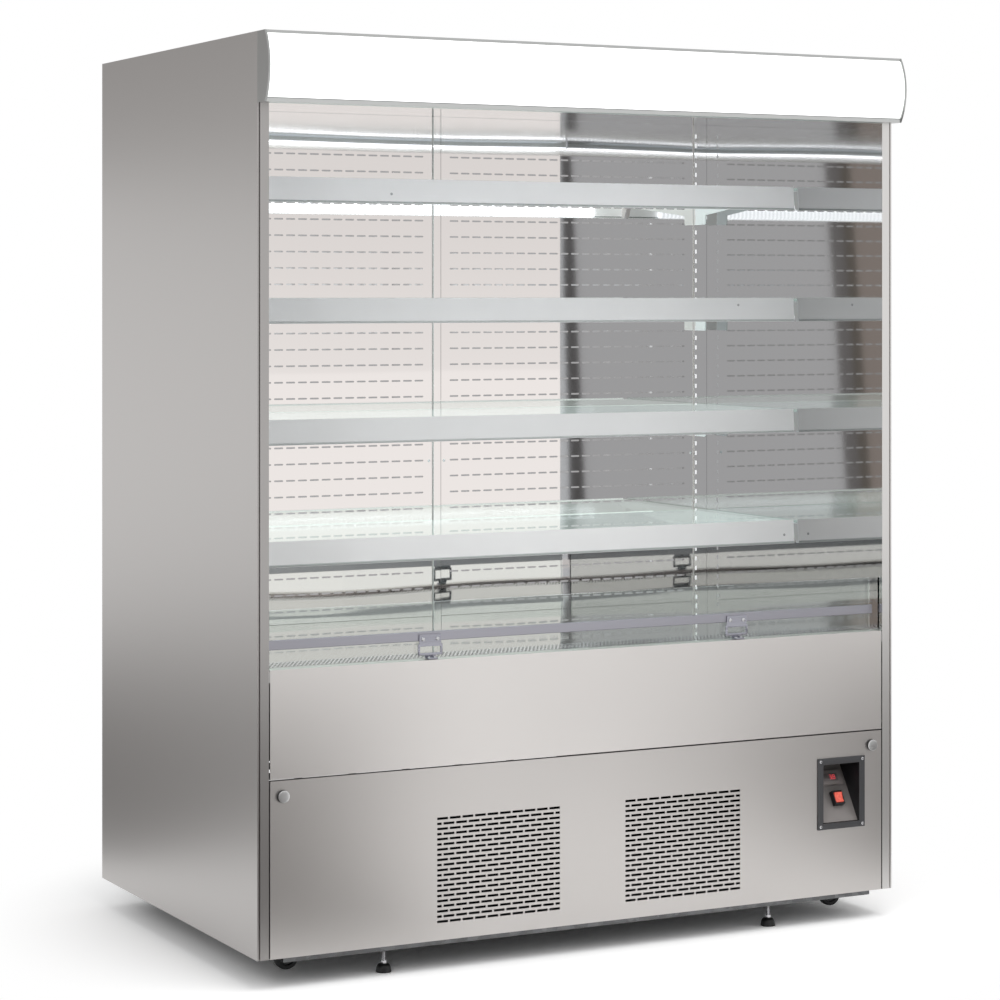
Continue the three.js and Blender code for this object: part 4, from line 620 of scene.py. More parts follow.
black_abs = moulded_plastic("black_moulded_abs", "#17171a", 0.4)
fan_nylon = moulded_plastic("black_nylon_fan", "#1d1d1f", 0.5)
castor_rubber = moulded_plastic("black_castor_rubber", "#141415", 0.62, texture_mm=1.6)
cup_rubber = moulded_plastic("black_foot_rubber", "#121213", 0.35, texture_mm=2.2)
plug_plastic = moulded_plastic("grey_plug_plastic", "#a9aaab", 0.4, texture_mm=2.0)
gauge_plastic = moulded_plastic("speckled_gauge_plastic", "#837c7a", 0.5, texture_mm=1.1)
display_window = moulded_plastic("smoked_display_window", "#6b6463", 0.3, texture_mm=1.4)


# %% Lit covers
def lit_canopy(name, half_length, falloff):
    """Opal acrylic over light strips: white, a little greyer near both ends."""
    made, tree, shader = new_finish(name)
    source = add_node(tree, "ShaderNodeTexCoord")
    split = add_node(tree, "ShaderNodeSeparateXYZ", {"Vector": source.outputs["Object"]})
    reach = add_node(tree, "ShaderNodeMath", {0: split.outputs[0]}, operation="ABSOLUTE")
    end = add_node(tree, "ShaderNodeMapRange", {
        "Value": reach.outputs[0], "From Min": half_length - falloff, "From Max": half_length,
        "To Min": 0.0, "To Max": 1.0}, interpolation_type="SMOOTHSTEP")
    tone = add_node(tree, "ShaderNodeMix", {
        0: end.outputs[0], 6: (1, 1, 1, 1), 7: colour("#e2e7e3")}, data_type="RGBA")
    tree.links.new(tone.outputs[2], shader.inputs["Emission Color"])
    shader.inputs["Emission Strength"].default_value = 0.95
    shader.inputs["Base Color"].default_value = colour("#f2f2f2")
    shader.inputs["Roughness"].default_value = 0.3
    return made


def lit_strip(name, hex_code, strength, pitch_mm=12, band=None):
    """A diode strip under a frosted cover: dots in an even glow; band is its middle and half width."""
    made, tree, shader = new_finish(name)
    source = add_node(tree, "ShaderNodeTexCoord")
    split = add_node(tree, "ShaderNodeSeparateXYZ", {"Vector": source.outputs["Object"]})
    turns = add_node(tree, "ShaderNodeMath", {
        0: split.outputs[0], 1: 2 * math.pi * per_metre(pitch_mm)}, operation="MULTIPLY")
    dots = add_node(tree, "ShaderNodeMath", {0: turns.outputs[0]}, operation="COSINE")
    glow = add_node(tree, "ShaderNodeMapRange", {
        "Value": dots.outputs[0], "From Min": -1.0, "From Max": 1.0,
        "To Min": strength * 0.75, "To Max": strength * 1.25})
    if band:
        away = add_node(tree, "ShaderNodeMath", {0: split.outputs[1], 1: band[0]}, operation="SUBTRACT")
        reach = add_node(tree, "ShaderNodeMath", {0: away.outputs[0]}, operation="ABSOLUTE")
        share = add_node(tree, "ShaderNodeMapRange", {
            "Value": reach.outputs[0], "From Min": band[1] * 0.6, "From Max": band[1] * 1.4,
            "To Min": 1.0, "To Max": 0.12})
        facing = add_node(tree, "ShaderNodeSeparateXYZ", {"Vector": source.outputs["Normal"]})
        under = add_node(tree, "ShaderNodeMapRange", {
            "Value": facing.outputs["Z"], "From Min": -0.4, "From Max": -0.8, "To Min": 0.07, "To Max": 1.0})
        lit = add_node(tree, "ShaderNodeMath", {
            0: under.outputs[0], 1: share.outputs[0]}, operation="MULTIPLY")
        glow = add_node(tree, "ShaderNodeMath", {0: glow.outputs[0], 1: lit.outputs[0]}, operation="MULTIPLY")
    tree.links.new(glow.outputs[0], shader.inputs["Emission Strength"])
    shader.inputs["Emission Color"].default_value = colour(hex_code)
    shader.inputs["Base Color"].default_value = colour("#f4f6f8")
    shader.inputs["Roughness"].default_value = 0.35
    return made


canopy_light = lit_canopy("opal_canopy_acrylic", 0.758, 0.16)
lamp_light = lit_strip("frosted_lamp_cover", "#eef6ff", 8.0, band=(-0.4015, 0.009))
low_light = lit_strip("frosted_shelf_lamp_cover", "#eef6ff", 1.6)


def lit_red(name):
    """The rocker's red polycarbonate, lit from within."""
    made, tree, shader = new_finish(name)
    texture = add_node(tree, "ShaderNodeTexNoise", {
        "Vector": object_place(tree), "Scale": per_metre(5), "Detail": 2.0})
    tone = add_node(tree, "ShaderNodeMix", {
        0: texture.outputs["Fac"], 6: colour("#b8382f"), 7: colour("#e8705c")}, data_type="RGBA")
    tree.links.new(tone.outputs[2], shader.inputs["Base Color"])
    tree.links.new(tone.outputs[2], shader.inputs["Emission Color"])
    shader.inputs["Emission Strength"].default_value = 0.3
    shader.inputs["Roughness"].default_value = 0.22
    return made


def lit_digits(name):
    made, tree, shader = new_finish(name)
    shader.inputs["Base Color"].default_value = colour("#d8202a")
    shader.inputs["Emission Color"].default_value = colour("#f05a62")
    shader.inputs["Emission Strength"].default_value = 0.6
    shader.inputs["Roughness"].default_value = 0.3
    return made


red_rocker = lit_red("lit_red_polycarbonate")
red_digits = lit_digits("lit_red_segments")
print("lit finishes ready")

# %% [markdown]
# ## Glass
# The guard is clear float glass and the shelves are tempered float glass, whose iron shows as
# green where one looks along the sheet. Both are real slabs, so light bends in them. Lamps would
# cast hard shadows through such glass, because bent light isn't traced back to them, so their
# rays pass straight through with the glass's own tint.

# %% Float glass
def float_glass(name, tint, shadow_tint, edge_light=0.0):
    """Clear glass; edge_light is a painted glow over the whole sheet, for the light of a strip at its edge
    that fine dust scatters.
    """
    made, tree, shader = new_finish(name)
    shader.inputs["Emission Color"].default_value = colour("#e4f6f1")
    shader.inputs["Emission Strength"].default_value = edge_light
    smears = add_node(tree, "ShaderNodeTexNoise", {
        "Vector": object_place(tree), "Scale": per_metre(90), "Detail": 3.0})
    gloss = add_node(tree, "ShaderNodeMapRange", {
        "Value": smears.outputs["Fac"], "To Min": 0.0, "To Max": 0.03})
    tree.links.new(gloss.outputs[0], shader.inputs["Roughness"])
    shader.inputs["Base Color"].default_value = colour(tint)
    shader.inputs["Transmission Weight"].default_value = 1.0
    shader.inputs["IOR"].default_value = 1.5
    ray = add_node(tree, "ShaderNodeLightPath")
    clear = add_node(tree, "ShaderNodeBsdfTransparent", {"Color": colour(shadow_tint)})
    mix = add_node(tree, "ShaderNodeMixShader", {
        0: ray.outputs["Is Shadow Ray"], 1: shader.outputs[0], 2: clear.outputs[0]})
    tree.links.new(mix.outputs[0], tree.nodes["Material Output"].inputs["Surface"])
    return made


guard_float = float_glass("clear_float_glass", "#f4fbf9", "#f0f6f4")
shelf_float = float_glass("tempered_shelf_glass", "#f0faf6", "#eef7f4", edge_light=0.13)
print("glass ready")

# %% [markdown]
# ## Dress the CAD nodes
# A node whose shape is right stays as it is and only gets its finish. The list pairs each
# finish with the nodes that wear it.

# %% Hand out the finishes
def dress(finish, *names):
    for name in names:
        mesh = nodes[name].data
        mesh.materials.clear()
        mesh.materials.append(finish)


def numbered(stem):
    return [f"{stem}_{index}" for index in range(1, 5)]


DRESSES = [
    (front_steel, ["service_panel"]),
    (upper_steel, ["upper_panel"]),
    (left_wall_steel, ["side_wall_left"]),
    (right_wall_steel, ["side_wall_right"]),
    (liner_steel, ["roof", "return_grille"]),
    (body_skin, ["foamed_body"]),
    (back_steel, ["back_panel_left", "back_panel_right", "upright_left", "upright_right", "joint_strip"]),
    (deck_steel, ["deck_pan"]),
    (comb_plastic, ["air_outlet"]),
    (lamp_light, ["ceiling_lamp"]),
    (low_light, numbered("shelf_lamp")),
    (canopy_metal, ["canopy_housing"]),
    (canopy_light, ["canopy_lens"]),
    (guard_float, ["guard_glass"]),
    (shelf_float, numbered("shelf_glass")),
    (rail_metal, ["guard_rail"]),
    (chrome, ["guard_clamp_left", "guard_clamp_right", "knob_left", "knob_right"]),
    (rail_enamel, ["shelf_frame_1", "shelf_frame_4"]),
    (middle_rail_enamel, ["shelf_frame_2", "shelf_frame_3"]),
    (zinc, ["rear_cover", *numbered("castor_fork")]),
    (tray_zinc, ["base_tray"]),
    (cup_rubber, numbered("foot")),
    (castor_rubber, numbered("castor_wheel")),
    (bezel_enamel, ["control_bezel"]),
    (black_abs, ["control_box", "rocker_housing"]),
    (plate_enamel, ["control_plate"]),
    (gauge_plastic, ["thermostat"]),
    (red_rocker, ["rocker"]),
    (coil_metal, ["evaporator"]),
    (condenser_metal, ["condenser"]),
    (fan_nylon, ["condenser_fan", "evaporator_fan"]),
    (shell_enamel, ["compressor"]),
]
for finish, names in DRESSES:
    dress(finish, *names)
dressed = {name for _, names in DRESSES for name in names}
print("dressed:", len(dressed), "left:", sorted(set(nodes) - dressed))

# %% [markdown]
# ## Making and placing pieces
# A piece begins as a small mesh in its own axes. It is then turned and moved by a matrix, given a
# finish and a body to ride on, and the CAD nodes that it replaces are hidden. Faces that meet at less
# than 35 degrees are shaded as one smooth surface.

# %% From a mesh to a piece
SMOOTH_ANGLE = math.radians(35)


def piece(name, bm, finish, body, matrix=None, replaced=()):
    """A finished piece from mesh data; the matrix takes it to its place in the frame."""
    mesh = bpy.data.meshes.new(name)
    bm.to_mesh(mesh)
    bm.free()
    return mesh_piece(name, mesh, finish, body, matrix, replaced)


def mesh_piece(name, mesh, finish, body, matrix=None, replaced=()):
    if matrix is not None:
        mesh.transform(matrix)
    mesh.polygons.foreach_set("use_smooth", [True] * len(mesh.polygons))
    mesh.set_sharp_from_angle(angle=SMOOTH_ANGLE)
    mesh.materials.clear()
    mesh.materials.append(finish)
    thing = bpy.data.objects.new(name, mesh)
    scene.collection.objects.link(thing)
    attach(thing, body)
    if replaced:
        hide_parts(*replaced)
    return thing


SIDEWAYS = 0.6                       # a face looks left or right if its normal has more of X than this


def pale_edges(thing):
    """Gives a piece's narrow side faces, those that look left or right, a second, paler finish."""
    thing.data.materials.append(pale_cut_steel)
    for face in thing.data.polygons:
        if abs(face.normal.x) > SIDEWAYS:
            face.material_index = 1


def baked(thing):
    """The mesh of an object with its modifiers carried out."""
    return bpy.data.meshes.new_from_object(thing.evaluated_get(bpy.context.evaluated_depsgraph_get()))


def moved(x, y, z):
    return Matrix.Translation((x, y, z))


def turned_about(axis, degrees):
    return Matrix.Rotation(math.radians(degrees), 4, axis)


FACING_FRONT = turned_about("X", 90)     # what was drawn looking down +Z now looks to the front, -Y
FACING_BACK = turned_about("X", -90)
FACING_DOWN = turned_about("X", 180)
print("front of a drawing now faces", tuple(round(c) for c in FACING_FRONT @ Vector((0, 0, 1))))

# %% [markdown]
# ## Shapes that come back often
# Screws, knobs, wheels and feet are turned: a profile goes round an axis. Plates are cut: an
# outline, maybe with holes, gets a thickness and softly broken edges. `triangle_fill` finds by
# itself which rings are holes.

# %% Turned bodies and cut plates
def turned(profile, segments, closed=False):
    """A body turned about Z; the profile lists (radius, height) with the metal on its left."""
    bm = bmesh.new()
    angles = [2 * math.pi * step / segments for step in range(segments)]
    rings = []
    for radius, height in profile:
        around = angles if radius > 1e-7 else [0.0]
        rings.append([bm.verts.new((radius * math.cos(a), radius * math.sin(a), height)) for a in around])
    pairs = list(zip(rings, rings[1:] + rings[:1])) if closed else list(zip(rings, rings[1:]))
    for low, high in pairs:
        for here in range(segments):
            after = (here + 1) % segments
            corners = [low[here % len(low)], low[after % len(low)],
                       high[after % len(high)], high[here % len(high)]]
            bm.faces.new(list(dict.fromkeys(corners)))
    bmesh.ops.recalc_face_normals(bm, faces=bm.faces[:])
    return bm


def slot_ring(x, y, length, height, steps=4):
    """Points round a slot with half-round ends, about (x, y)."""
    reach, radius = (length - height) / 2, height / 2
    points = []
    for end in (0, 1):
        for step in range(steps + 1):
            angle = math.pi * (step / steps - 0.5 + end)
            points.append((x + (reach, -reach)[end] + radius * math.cos(angle), y + radius * math.sin(angle)))
    return points


def round_ring(x, y, radius, sides, first=0.0):
    angles = [first + 2 * math.pi * side / sides for side in range(sides)]
    return [(x + radius * math.cos(a), y + radius * math.sin(a)) for a in angles]


def box_ring(x0, x1, y0, y1):
    return [(x0, y0), (x1, y0), (x1, y1), (x0, y1)]


def cut_faces(bm, rings, level):
    """The flat face between an outline and its holes, at one level; gives back its rings."""
    loops = [[bm.verts.new((x, y, level)) for x, y in ring] for ring in rings]
    edges = [bm.edges.new(pair) for loop in loops for pair in zip(loop, loop[1:] + loop[:1])]
    bmesh.ops.triangle_fill(bm, use_beauty=True, edges=edges, normal=(0, 0, 1))
    return loops


def wall_between(bm, front_loop, back_loop):
    size = len(front_loop)
    for here in range(size):
        after = (here + 1) % size
        bm.faces.new((front_loop[here], front_loop[after], back_loop[after], back_loop[here]))


def cut_plate(rings, depth):
    """A closed plate: the first ring is its outline, the others are holes; its front is at 0."""
    bm = bmesh.new()
    front = cut_faces(bm, rings, 0.0)
    back = cut_faces(bm, rings, -depth)
    for front_loop, back_loop in zip(front, back):
        wall_between(bm, front_loop, back_loop)
    bmesh.ops.recalc_face_normals(bm, faces=bm.faces[:])
    return bm


def broken_edges(bm, width, segments=2):
    """The same body with its sharp edges rounded, by a bevel modifier that is carried out here."""
    holder = bpy.data.objects.new("holder", bpy.data.meshes.new("holder"))
    bm.to_mesh(holder.data)
    bm.free()
    scene.collection.objects.link(holder)
    bevel = holder.modifiers.new("broken_edges", "BEVEL")
    bevel.width, bevel.segments, bevel.limit_method = width, segments, "ANGLE"
    bevel.angle_limit = math.radians(40)
    made = bmesh.new()
    made.from_mesh(baked(holder))
    bpy.data.objects.remove(holder)
    return made


def joined(*parts):
    """Several bodies as the mesh of one piece; each part is (body, matrix)."""
    whole = bmesh.new()
    for bm, matrix in parts:
        mesh = bpy.data.meshes.new("part")
        bm.to_mesh(mesh)
        bm.free()
        mesh.transform(matrix)
        whole.from_mesh(mesh)
        bpy.data.meshes.remove(mesh)
    return whole


print("a slot's ring has", len(slot_ring(0, 0, mm(22), mm(4))), "points")

# %% [markdown]
# ## Punched sheet with Geometry Nodes
# The back of the fridge breathes out cold air through more than a thousand slots. One tile of
# sheet holds one slot. A node tree puts a point at each tile's place, worked out from the point's
# index, sets a copy of the tile on each, makes the copies real and welds their edges. In a
# staggered sheet every second row is shifted by half a tile, and a blank filler of half a tile
# evens out the ends. The same tree serves the slotted back, the uprights, the perforated return
# grille and the honeycomb.

# %% The tile tree
def group_inputs(tree, sockets):
    for name, kind in sockets:
        tree.interface.new_socket(name=name, in_out="INPUT", socket_type=kind)
    tree.interface.new_socket(name="Made", in_out="OUTPUT", socket_type="NodeSocketGeometry")
    return add_node(tree, "NodeGroupInput").outputs


def copies_at(tree, count, x, y, source):
    """Copies of an object's shape on count points, whose places are fields of their index."""
    place = add_node(tree, "ShaderNodeCombineXYZ", {"X": x, "Y": y})
    points = add_node(tree, "GeometryNodePoints", {"Count": count, "Position": place.outputs[0]})
    shape = add_node(tree, "GeometryNodeObjectInfo", {"Object": source})
    return add_node(tree, "GeometryNodeInstanceOnPoints", {
        "Points": points.outputs[0], "Instance": shape.outputs["Geometry"]}).outputs[0]


def finish_tree(tree, geometry, finish, weld):
    real = add_node(tree, "GeometryNodeRealizeInstances", {"Geometry": geometry}).outputs[0]
    if weld:
        real = add_node(tree, "GeometryNodeMergeByDistance", {"Geometry": real, "Distance": weld}).outputs[0]
    dressed = add_node(tree, "GeometryNodeSetMaterial", {"Geometry": real, "Material": finish})
    add_node(tree, "NodeGroupOutput", {"Made": dressed.outputs[0]})


# Each row is a sum: its name, its operation, and two inputs, earlier sums or plain numbers.
TILE_SUMS = [
    ("column", "MODULO", "index", "Columns"), ("rows before", "DIVIDE", "index", "Columns"),
    ("row", "FLOOR", "rows before", 0.0), ("odd row", "MODULO", "row", 2.0),
    ("shift", "MULTIPLY", "odd row", "Stagger"), ("across", "MULTIPLY", "column", "Pitch X"),
    ("x", "ADD", "across", "shift"), ("y", "MULTIPLY", "row", "Pitch Y"),
    ("count", "MULTIPLY", "Columns", "Rows"), ("odd end", "MODULO", "index", 2.0),
    ("even", "SUBTRACT", 1.0, "odd end"), ("width", "MULTIPLY", "Columns", "Pitch X"),
    ("end x", "MULTIPLY", "even", "width"), ("end y", "MULTIPLY", "index", "Pitch Y")]


def tile_tree():
    tree = bpy.data.node_groups.new("tiles_in_rows", "GeometryNodeTree")
    given = group_inputs(tree, [
        ("Tile", "NodeSocketObject"), ("Filler", "NodeSocketObject"), ("Columns", "NodeSocketInt"),
        ("Rows", "NodeSocketInt"), ("Pitch X", "NodeSocketFloat"), ("Pitch Y", "NodeSocketFloat"),
        ("Stagger", "NodeSocketFloat"), ("Finish", "NodeSocketMaterial")])
    known = {socket.name: socket for socket in given}
    known["index"] = add_node(tree, "GeometryNodeInputIndex").outputs[0]
    for name, operation, first, second in TILE_SUMS:
        known[name] = add_node(tree, "ShaderNodeMath", {
            0: known.get(first, first), 1: known.get(second, second)}, operation=operation).outputs[0]
    tiles = copies_at(tree, known["count"], known["x"], known["y"], given["Tile"])
    fillers = copies_at(tree, given["Rows"], known["end x"], known["end y"], given["Filler"])
    both = add_node(tree, "GeometryNodeJoinGeometry")
    for part in (fillers, tiles):
        tree.links.new(part, both.inputs[0])
    finish_tree(tree, both.outputs[0], given["Finish"], mm(0.01))
    return tree


def run_tree(tree, name, values):
    """The mesh that a tree makes from these inputs, as plain mesh data without modifier."""
    holder = bpy.data.objects.new(name, bpy.data.meshes.new(name))
    modifier = holder.modifiers.new("making", "NODES")
    modifier.node_group = tree
    for socket in tree.interface.items_tree:
        if socket.in_out == "INPUT" and socket.name in values:
            modifier[socket.identifier] = values[socket.name]
    scene.collection.objects.link(holder)
    mesh = baked(holder)
    bpy.data.objects.remove(holder)
    return mesh


def tool_object(name, bm):
    """An object that only a node tree looks at, so it isn't put into the scene."""
    mesh = bpy.data.meshes.new(name)
    bm.to_mesh(mesh)
    bm.free()
    return bpy.data.objects.new(name, mesh)


TILES = tile_tree()
print("tile tree:", len(TILES.nodes), "nodes")

# %% [markdown]
# A tile is open at its four edges, so that the weld joins it to its neighbours. The welded sheet
# then gets its plain margins: its open edges are carried out to the panel's own edges, and a rim
# closes front to back.

# %% Tiles and margins
def tile(name, width, height, depth, holes, staggered=False):
    """One tile with its holes; a staggered one has corners of its neighbours on its long sides."""
    border = box_ring(0, width, 0, height)
    if staggered:
        border = [(0, 0), (width / 2, 0), (width, 0), (width, height), (width / 2, height), (0, height)]
    bm = bmesh.new()
    front = cut_faces(bm, [border, *holes], 0.0)
    back = cut_faces(bm, [border, *holes], -depth)
    for front_loop, back_loop in zip(front[1:], back[1:]):
        wall_between(bm, front_loop, back_loop)
    return tool_object(name, bm)


def carry_edge(bm, axis, start, end):
    """Carries the sheet's open edges that lie at start on an axis out to end."""
    if abs(end - start) < 1e-6:
        return
    edges = [e for e in bm.edges if e.is_boundary and all(abs(v.co[axis] - start) < 1e-5 for v in e.verts)]
    made = bmesh.ops.extrude_edge_only(bm, edges=edges)["geom"]
    for vert in (part for part in made if isinstance(part, bmesh.types.BMVert)):
        vert.co[axis] = end


def close_rim(bm):
    def place(vert):
        return round(vert.co.x, 5), round(vert.co.y, 5)

    open_edges = [e for e in bm.edges if e.is_boundary]
    behind = {place(v): v for e in open_edges for v in e.verts if v.co.z < -1e-6}
    for edge in [e for e in open_edges if e.verts[0].co.z > -1e-6]:
        one, two = edge.verts
        bm.faces.new((one, two, behind[place(two)], behind[place(one)]))
    bmesh.ops.recalc_face_normals(bm, faces=bm.faces[:])


def punched_sheet(one_tile, filler, columns, rows, pitch, stagger, start, size, finish):
    """Mesh data of a sheet of that size, lower left corner at 0, whose tiles begin at start."""
    mesh = run_tree(TILES, "sheet", {
        "Tile": one_tile, "Filler": filler, "Columns": columns, "Rows": rows, "Pitch X": pitch[0],
        "Pitch Y": pitch[1], "Stagger": stagger, "Finish": finish})
    bm = bmesh.new()
    bm.from_mesh(mesh)
    bmesh.ops.translate(bm, verts=bm.verts, vec=(start[0], start[1], 0))
    width, height = columns * pitch[0] + stagger, rows * pitch[1]
    carry_edge(bm, 0, start[0], 0.0)
    carry_edge(bm, 0, start[0] + width, size[0])
    carry_edge(bm, 1, start[1], 0.0)
    carry_edge(bm, 1, start[1] + height, size[1])
    close_rim(bm)
    return bm


def corners_of(node):
    low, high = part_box(node)
    return Vector(low), Vector(high)


# %% [markdown]
# The slots of the back panels are 22.5 mm long and 4 mm high, in rows 37.3 mm apart. The pattern
# starts 34.4 mm from the middle of the fridge and is mirrored in the left-hand panel.

# %% Slotted back panels
SLOT_LENGTH, SLOT_HEIGHT = mm(22.5), mm(4)
SLOT_PITCH, SLOT_ROW_PITCH = mm(29.5), mm(37.3)
SLOT_COLUMNS, SLOT_ROWS = 22, 29
FIRST_SLOT = mm(34.4)                # from the middle of the fridge
TOP_SLOT_HEIGHT = mm(1705.8)         # above the floor
PANEL_SHEET = mm(2)

slot_tile = tile("slot_tile", SLOT_PITCH, SLOT_ROW_PITCH, PANEL_SHEET,
                 [slot_ring(SLOT_PITCH / 2, SLOT_ROW_PITCH / 2, SLOT_LENGTH, SLOT_HEIGHT)])
for side, name in ((-1, "back_panel_left"), (1, "back_panel_right")):
    low, high = corners_of(name)
    size = (high.x - low.x, high.z - low.z)
    near = FIRST_SLOT - (SLOT_PITCH - SLOT_LENGTH) / 2
    first = near - low.x if side > 0 else -near - SLOT_COLUMNS * SLOT_PITCH - low.x
    lowest = TOP_SLOT_HEIGHT - (SLOT_ROWS - 0.5) * SLOT_ROW_PITCH - low.z
    sheet = punched_sheet(slot_tile, None, SLOT_COLUMNS, SLOT_ROWS, (SLOT_PITCH, SLOT_ROW_PITCH), 0.0,
                          (first, lowest), size, back_steel)
    made = piece("slotted_" + name, sheet, back_steel, "cabinet",
                 moved(low.x, low.y, low.z) @ FACING_FRONT, [name])
    print(name, "slots:", SLOT_COLUMNS * SLOT_ROWS, "faces:", len(made.data.polygons))

# %% [markdown]
# Each upright has a ladder of small slots every 23.5 mm, eleven to a shelf, near its inner edge, so
# that the shelves can be hung at other heights. The hooks of the shelves sit in two of them. The
# plain strip between the two back panels has no slots; its two long edges are chamfered. The left
# chamfer is pale, and the right one is painted dark as shade, which draws a pale and a dark line.

# %% Slotted uprights
LADDER_PITCH = mm(23.5)
LADDER_SLOT = (mm(4.5), mm(10))
LADDER_INSET = mm(4.2)               # from the upright's inner edge to the middle of its slots
LADDER_SLOTS = 49
TOP_HOOK_SLOT = mm(1607.1)           # the middle of the slot that holds the top shelf's upper hook
SLOTS_ABOVE = 7

for side, name in ((-1, "upright_left"), (1, "upright_right")):
    low, high = corners_of(name)
    width, depth = high.x - low.x, high.y - low.y
    middle = LADDER_INSET if side > 0 else width - LADDER_INSET
    rung = box_ring(middle - LADDER_SLOT[0] / 2, middle + LADDER_SLOT[0] / 2,
                    LADDER_PITCH / 2 - LADDER_SLOT[1] / 2, LADDER_PITCH / 2 + LADDER_SLOT[1] / 2)
    rung_tile = tile(name + "_tile", width, LADDER_PITCH, depth, [rung])
    lowest = TOP_HOOK_SLOT + (SLOTS_ABOVE + 0.5 - LADDER_SLOTS) * LADDER_PITCH - low.z
    bar = punched_sheet(rung_tile, None, 1, LADDER_SLOTS, (width, LADDER_PITCH), 0.0, (0, lowest),
                        (width, high.z - low.z), back_steel)
    made = piece("slotted_" + name, bar, back_steel, "cabinet",
                 moved(low.x, low.y, low.z) @ FACING_FRONT, [name])
    pale_edges(made)
    made.data.materials.append(lit_slot_steel)
    made.data.materials.append(dim_slot_steel)
    # Slot walls facing left get painted light, those facing right dimmer painted light and shade.
    for face in made.data.polygons:
        if abs(face.normal.x) > SIDEWAYS and low.x + mm(0.5) < face.center.x < high.x - mm(0.5):
            face.material_index = 2 if face.normal.x < 0 else 3
print("uprights with", LADDER_SLOTS, "slots each")

# %% Joint strip
STRIP_CHAMFER = mm(2.0)
low, high = corners_of("joint_strip")
width, depth = high.x - low.x, high.y - low.y
outline = [(0, depth), (0, STRIP_CHAMFER), (STRIP_CHAMFER, 0), (width - STRIP_CHAMFER, 0),
           (width, STRIP_CHAMFER), (width, depth)]
strip = piece("chamfered_joint_strip", cut_plate([outline], high.z - low.z), back_steel, "cabinet",
              moved(low.x, low.y, high.z), ["joint_strip"])
pale_edges(strip)
# The right chamfer is painted dark, as shade.
strip.data.materials.append(shaded_edge_steel)
for face in strip.data.polygons:
    if face.normal.x > SIDEWAYS:
        face.material_index = 2
print("joint strip", round(width * 1000), "mm wide")

# %% [markdown]
# The return grille sucks the air back in behind the front glass. It is a sheet with round holes
# in staggered rows, and its two long edges are turned down. The honeycomb in the ceiling
# straightens the falling air: it is made of small six-sided tubes, held in a frame.

# %% Perforated return grille
HOLE_RADIUS, HOLE_PITCH = mm(2.75), mm(9)
GRILLE_SHEET = mm(1.6)
ROW_PITCH = HOLE_PITCH * math.sin(math.radians(60))


def flange(x0, x1, y0, y1, z0, z1):
    return cut_plate([box_ring(x0, x1, y0, y1)], z1 - z0), moved(0, 0, z1)


low, high = corners_of("return_grille")
size = (high.x - low.x, high.y - low.y)
columns = int((size[0] - mm(24)) / HOLE_PITCH)
rows = int((size[1] - mm(10)) / ROW_PITCH)
hole_tile = tile("hole_tile", HOLE_PITCH, ROW_PITCH, GRILLE_SHEET,
                 [round_ring(HOLE_PITCH / 2, ROW_PITCH / 2, HOLE_RADIUS, 8, math.pi / 8)], staggered=True)
blank_tile = tile("blank_tile", HOLE_PITCH / 2, ROW_PITCH, GRILLE_SHEET, [])
first = ((size[0] - (columns + 0.5) * HOLE_PITCH) / 2, (size[1] - rows * ROW_PITCH) / 2)
sheet = punched_sheet(hole_tile, blank_tile, columns, rows, (HOLE_PITCH, ROW_PITCH), HOLE_PITCH / 2, first,
                      size, liner_steel)
deep = high.z - low.z
front_edge = flange(0, size[0], 0, GRILLE_SHEET, -deep, -GRILLE_SHEET)
back_edge = flange(0, size[0], size[1] - GRILLE_SHEET, size[1], -deep, -GRILLE_SHEET)
grille = joined((sheet, moved(0, 0, 0)), front_edge, back_edge)
piece("perforated_return_grille", grille, liner_steel, "cabinet",
      moved(low.x, low.y, high.z), ["return_grille"])
print("return grille holes:", columns * rows)

# %% Honeycomb air outlet
CELL_PITCH, CELL_WALL, OUTLET_FRAME = mm(9), mm(0.5), mm(4)


def six_sided_tube(depth):
    outer = round_ring(0, 0, (CELL_PITCH - mm(0.1)) / math.sqrt(3), 6, math.pi / 6)
    inner = round_ring(0, 0, (CELL_PITCH - 2 * CELL_WALL) / math.sqrt(3), 6, math.pi / 6)
    return cut_plate([outer, inner], depth)


low, high = corners_of("air_outlet")
size = (high.x - low.x, high.y - low.y)
cell_rows = CELL_PITCH * math.sin(math.radians(60))
inside = (size[0] - 2 * OUTLET_FRAME, size[1] - 2 * OUTLET_FRAME)
columns = int(inside[0] / CELL_PITCH - 0.5)
rows = int((inside[1] - CELL_PITCH * 0.2) / cell_rows)
deep = high.z - low.z
cells = run_tree(TILES, "honeycomb", {
    "Tile": tool_object("cell", six_sided_tube(deep - mm(2))), "Filler": None, "Columns": columns,
    "Rows": rows, "Pitch X": CELL_PITCH, "Pitch Y": cell_rows, "Stagger": CELL_PITCH / 2,
    "Finish": comb_plastic})
comb = bmesh.new()
comb.from_mesh(cells)
comb_place = moved((size[0] - (columns - 0.5) * CELL_PITCH) / 2,
                   (size[1] - (rows - 1) * cell_rows) / 2, -mm(1))
rim = cut_plate([box_ring(0, size[0], 0, size[1]),
                 box_ring(OUTLET_FRAME, size[0] - OUTLET_FRAME, OUTLET_FRAME, size[1] - OUTLET_FRAME)], deep)
outlet = joined((comb, comb_place), (rim, moved(0, 0, 0)))
piece("honeycomb_air_outlet", outlet, comb_plastic, "cabinet",
      moved(low.x, high.y, low.z) @ FACING_DOWN, ["air_outlet"])
print("honeycomb cells:", columns * rows)

# %% [markdown]
# ## Screws
# A screw head is a low turned dome with a cross cut into it. A second, smaller node tree puts one
# on every point of a mesh that holds only places.

# %% Screw heads
def cross_ring(reach, half_width):
    """The twelve corners of a cross, round its middle."""
    arm = [(reach, -half_width), (reach, half_width), (half_width, half_width)]
    quarter = math.pi / 2
    return [(x * math.cos(turn * quarter) - y * math.sin(turn * quarter),
             x * math.sin(turn * quarter) + y * math.cos(turn * quarter))
            for turn in range(4) for x, y in arm]


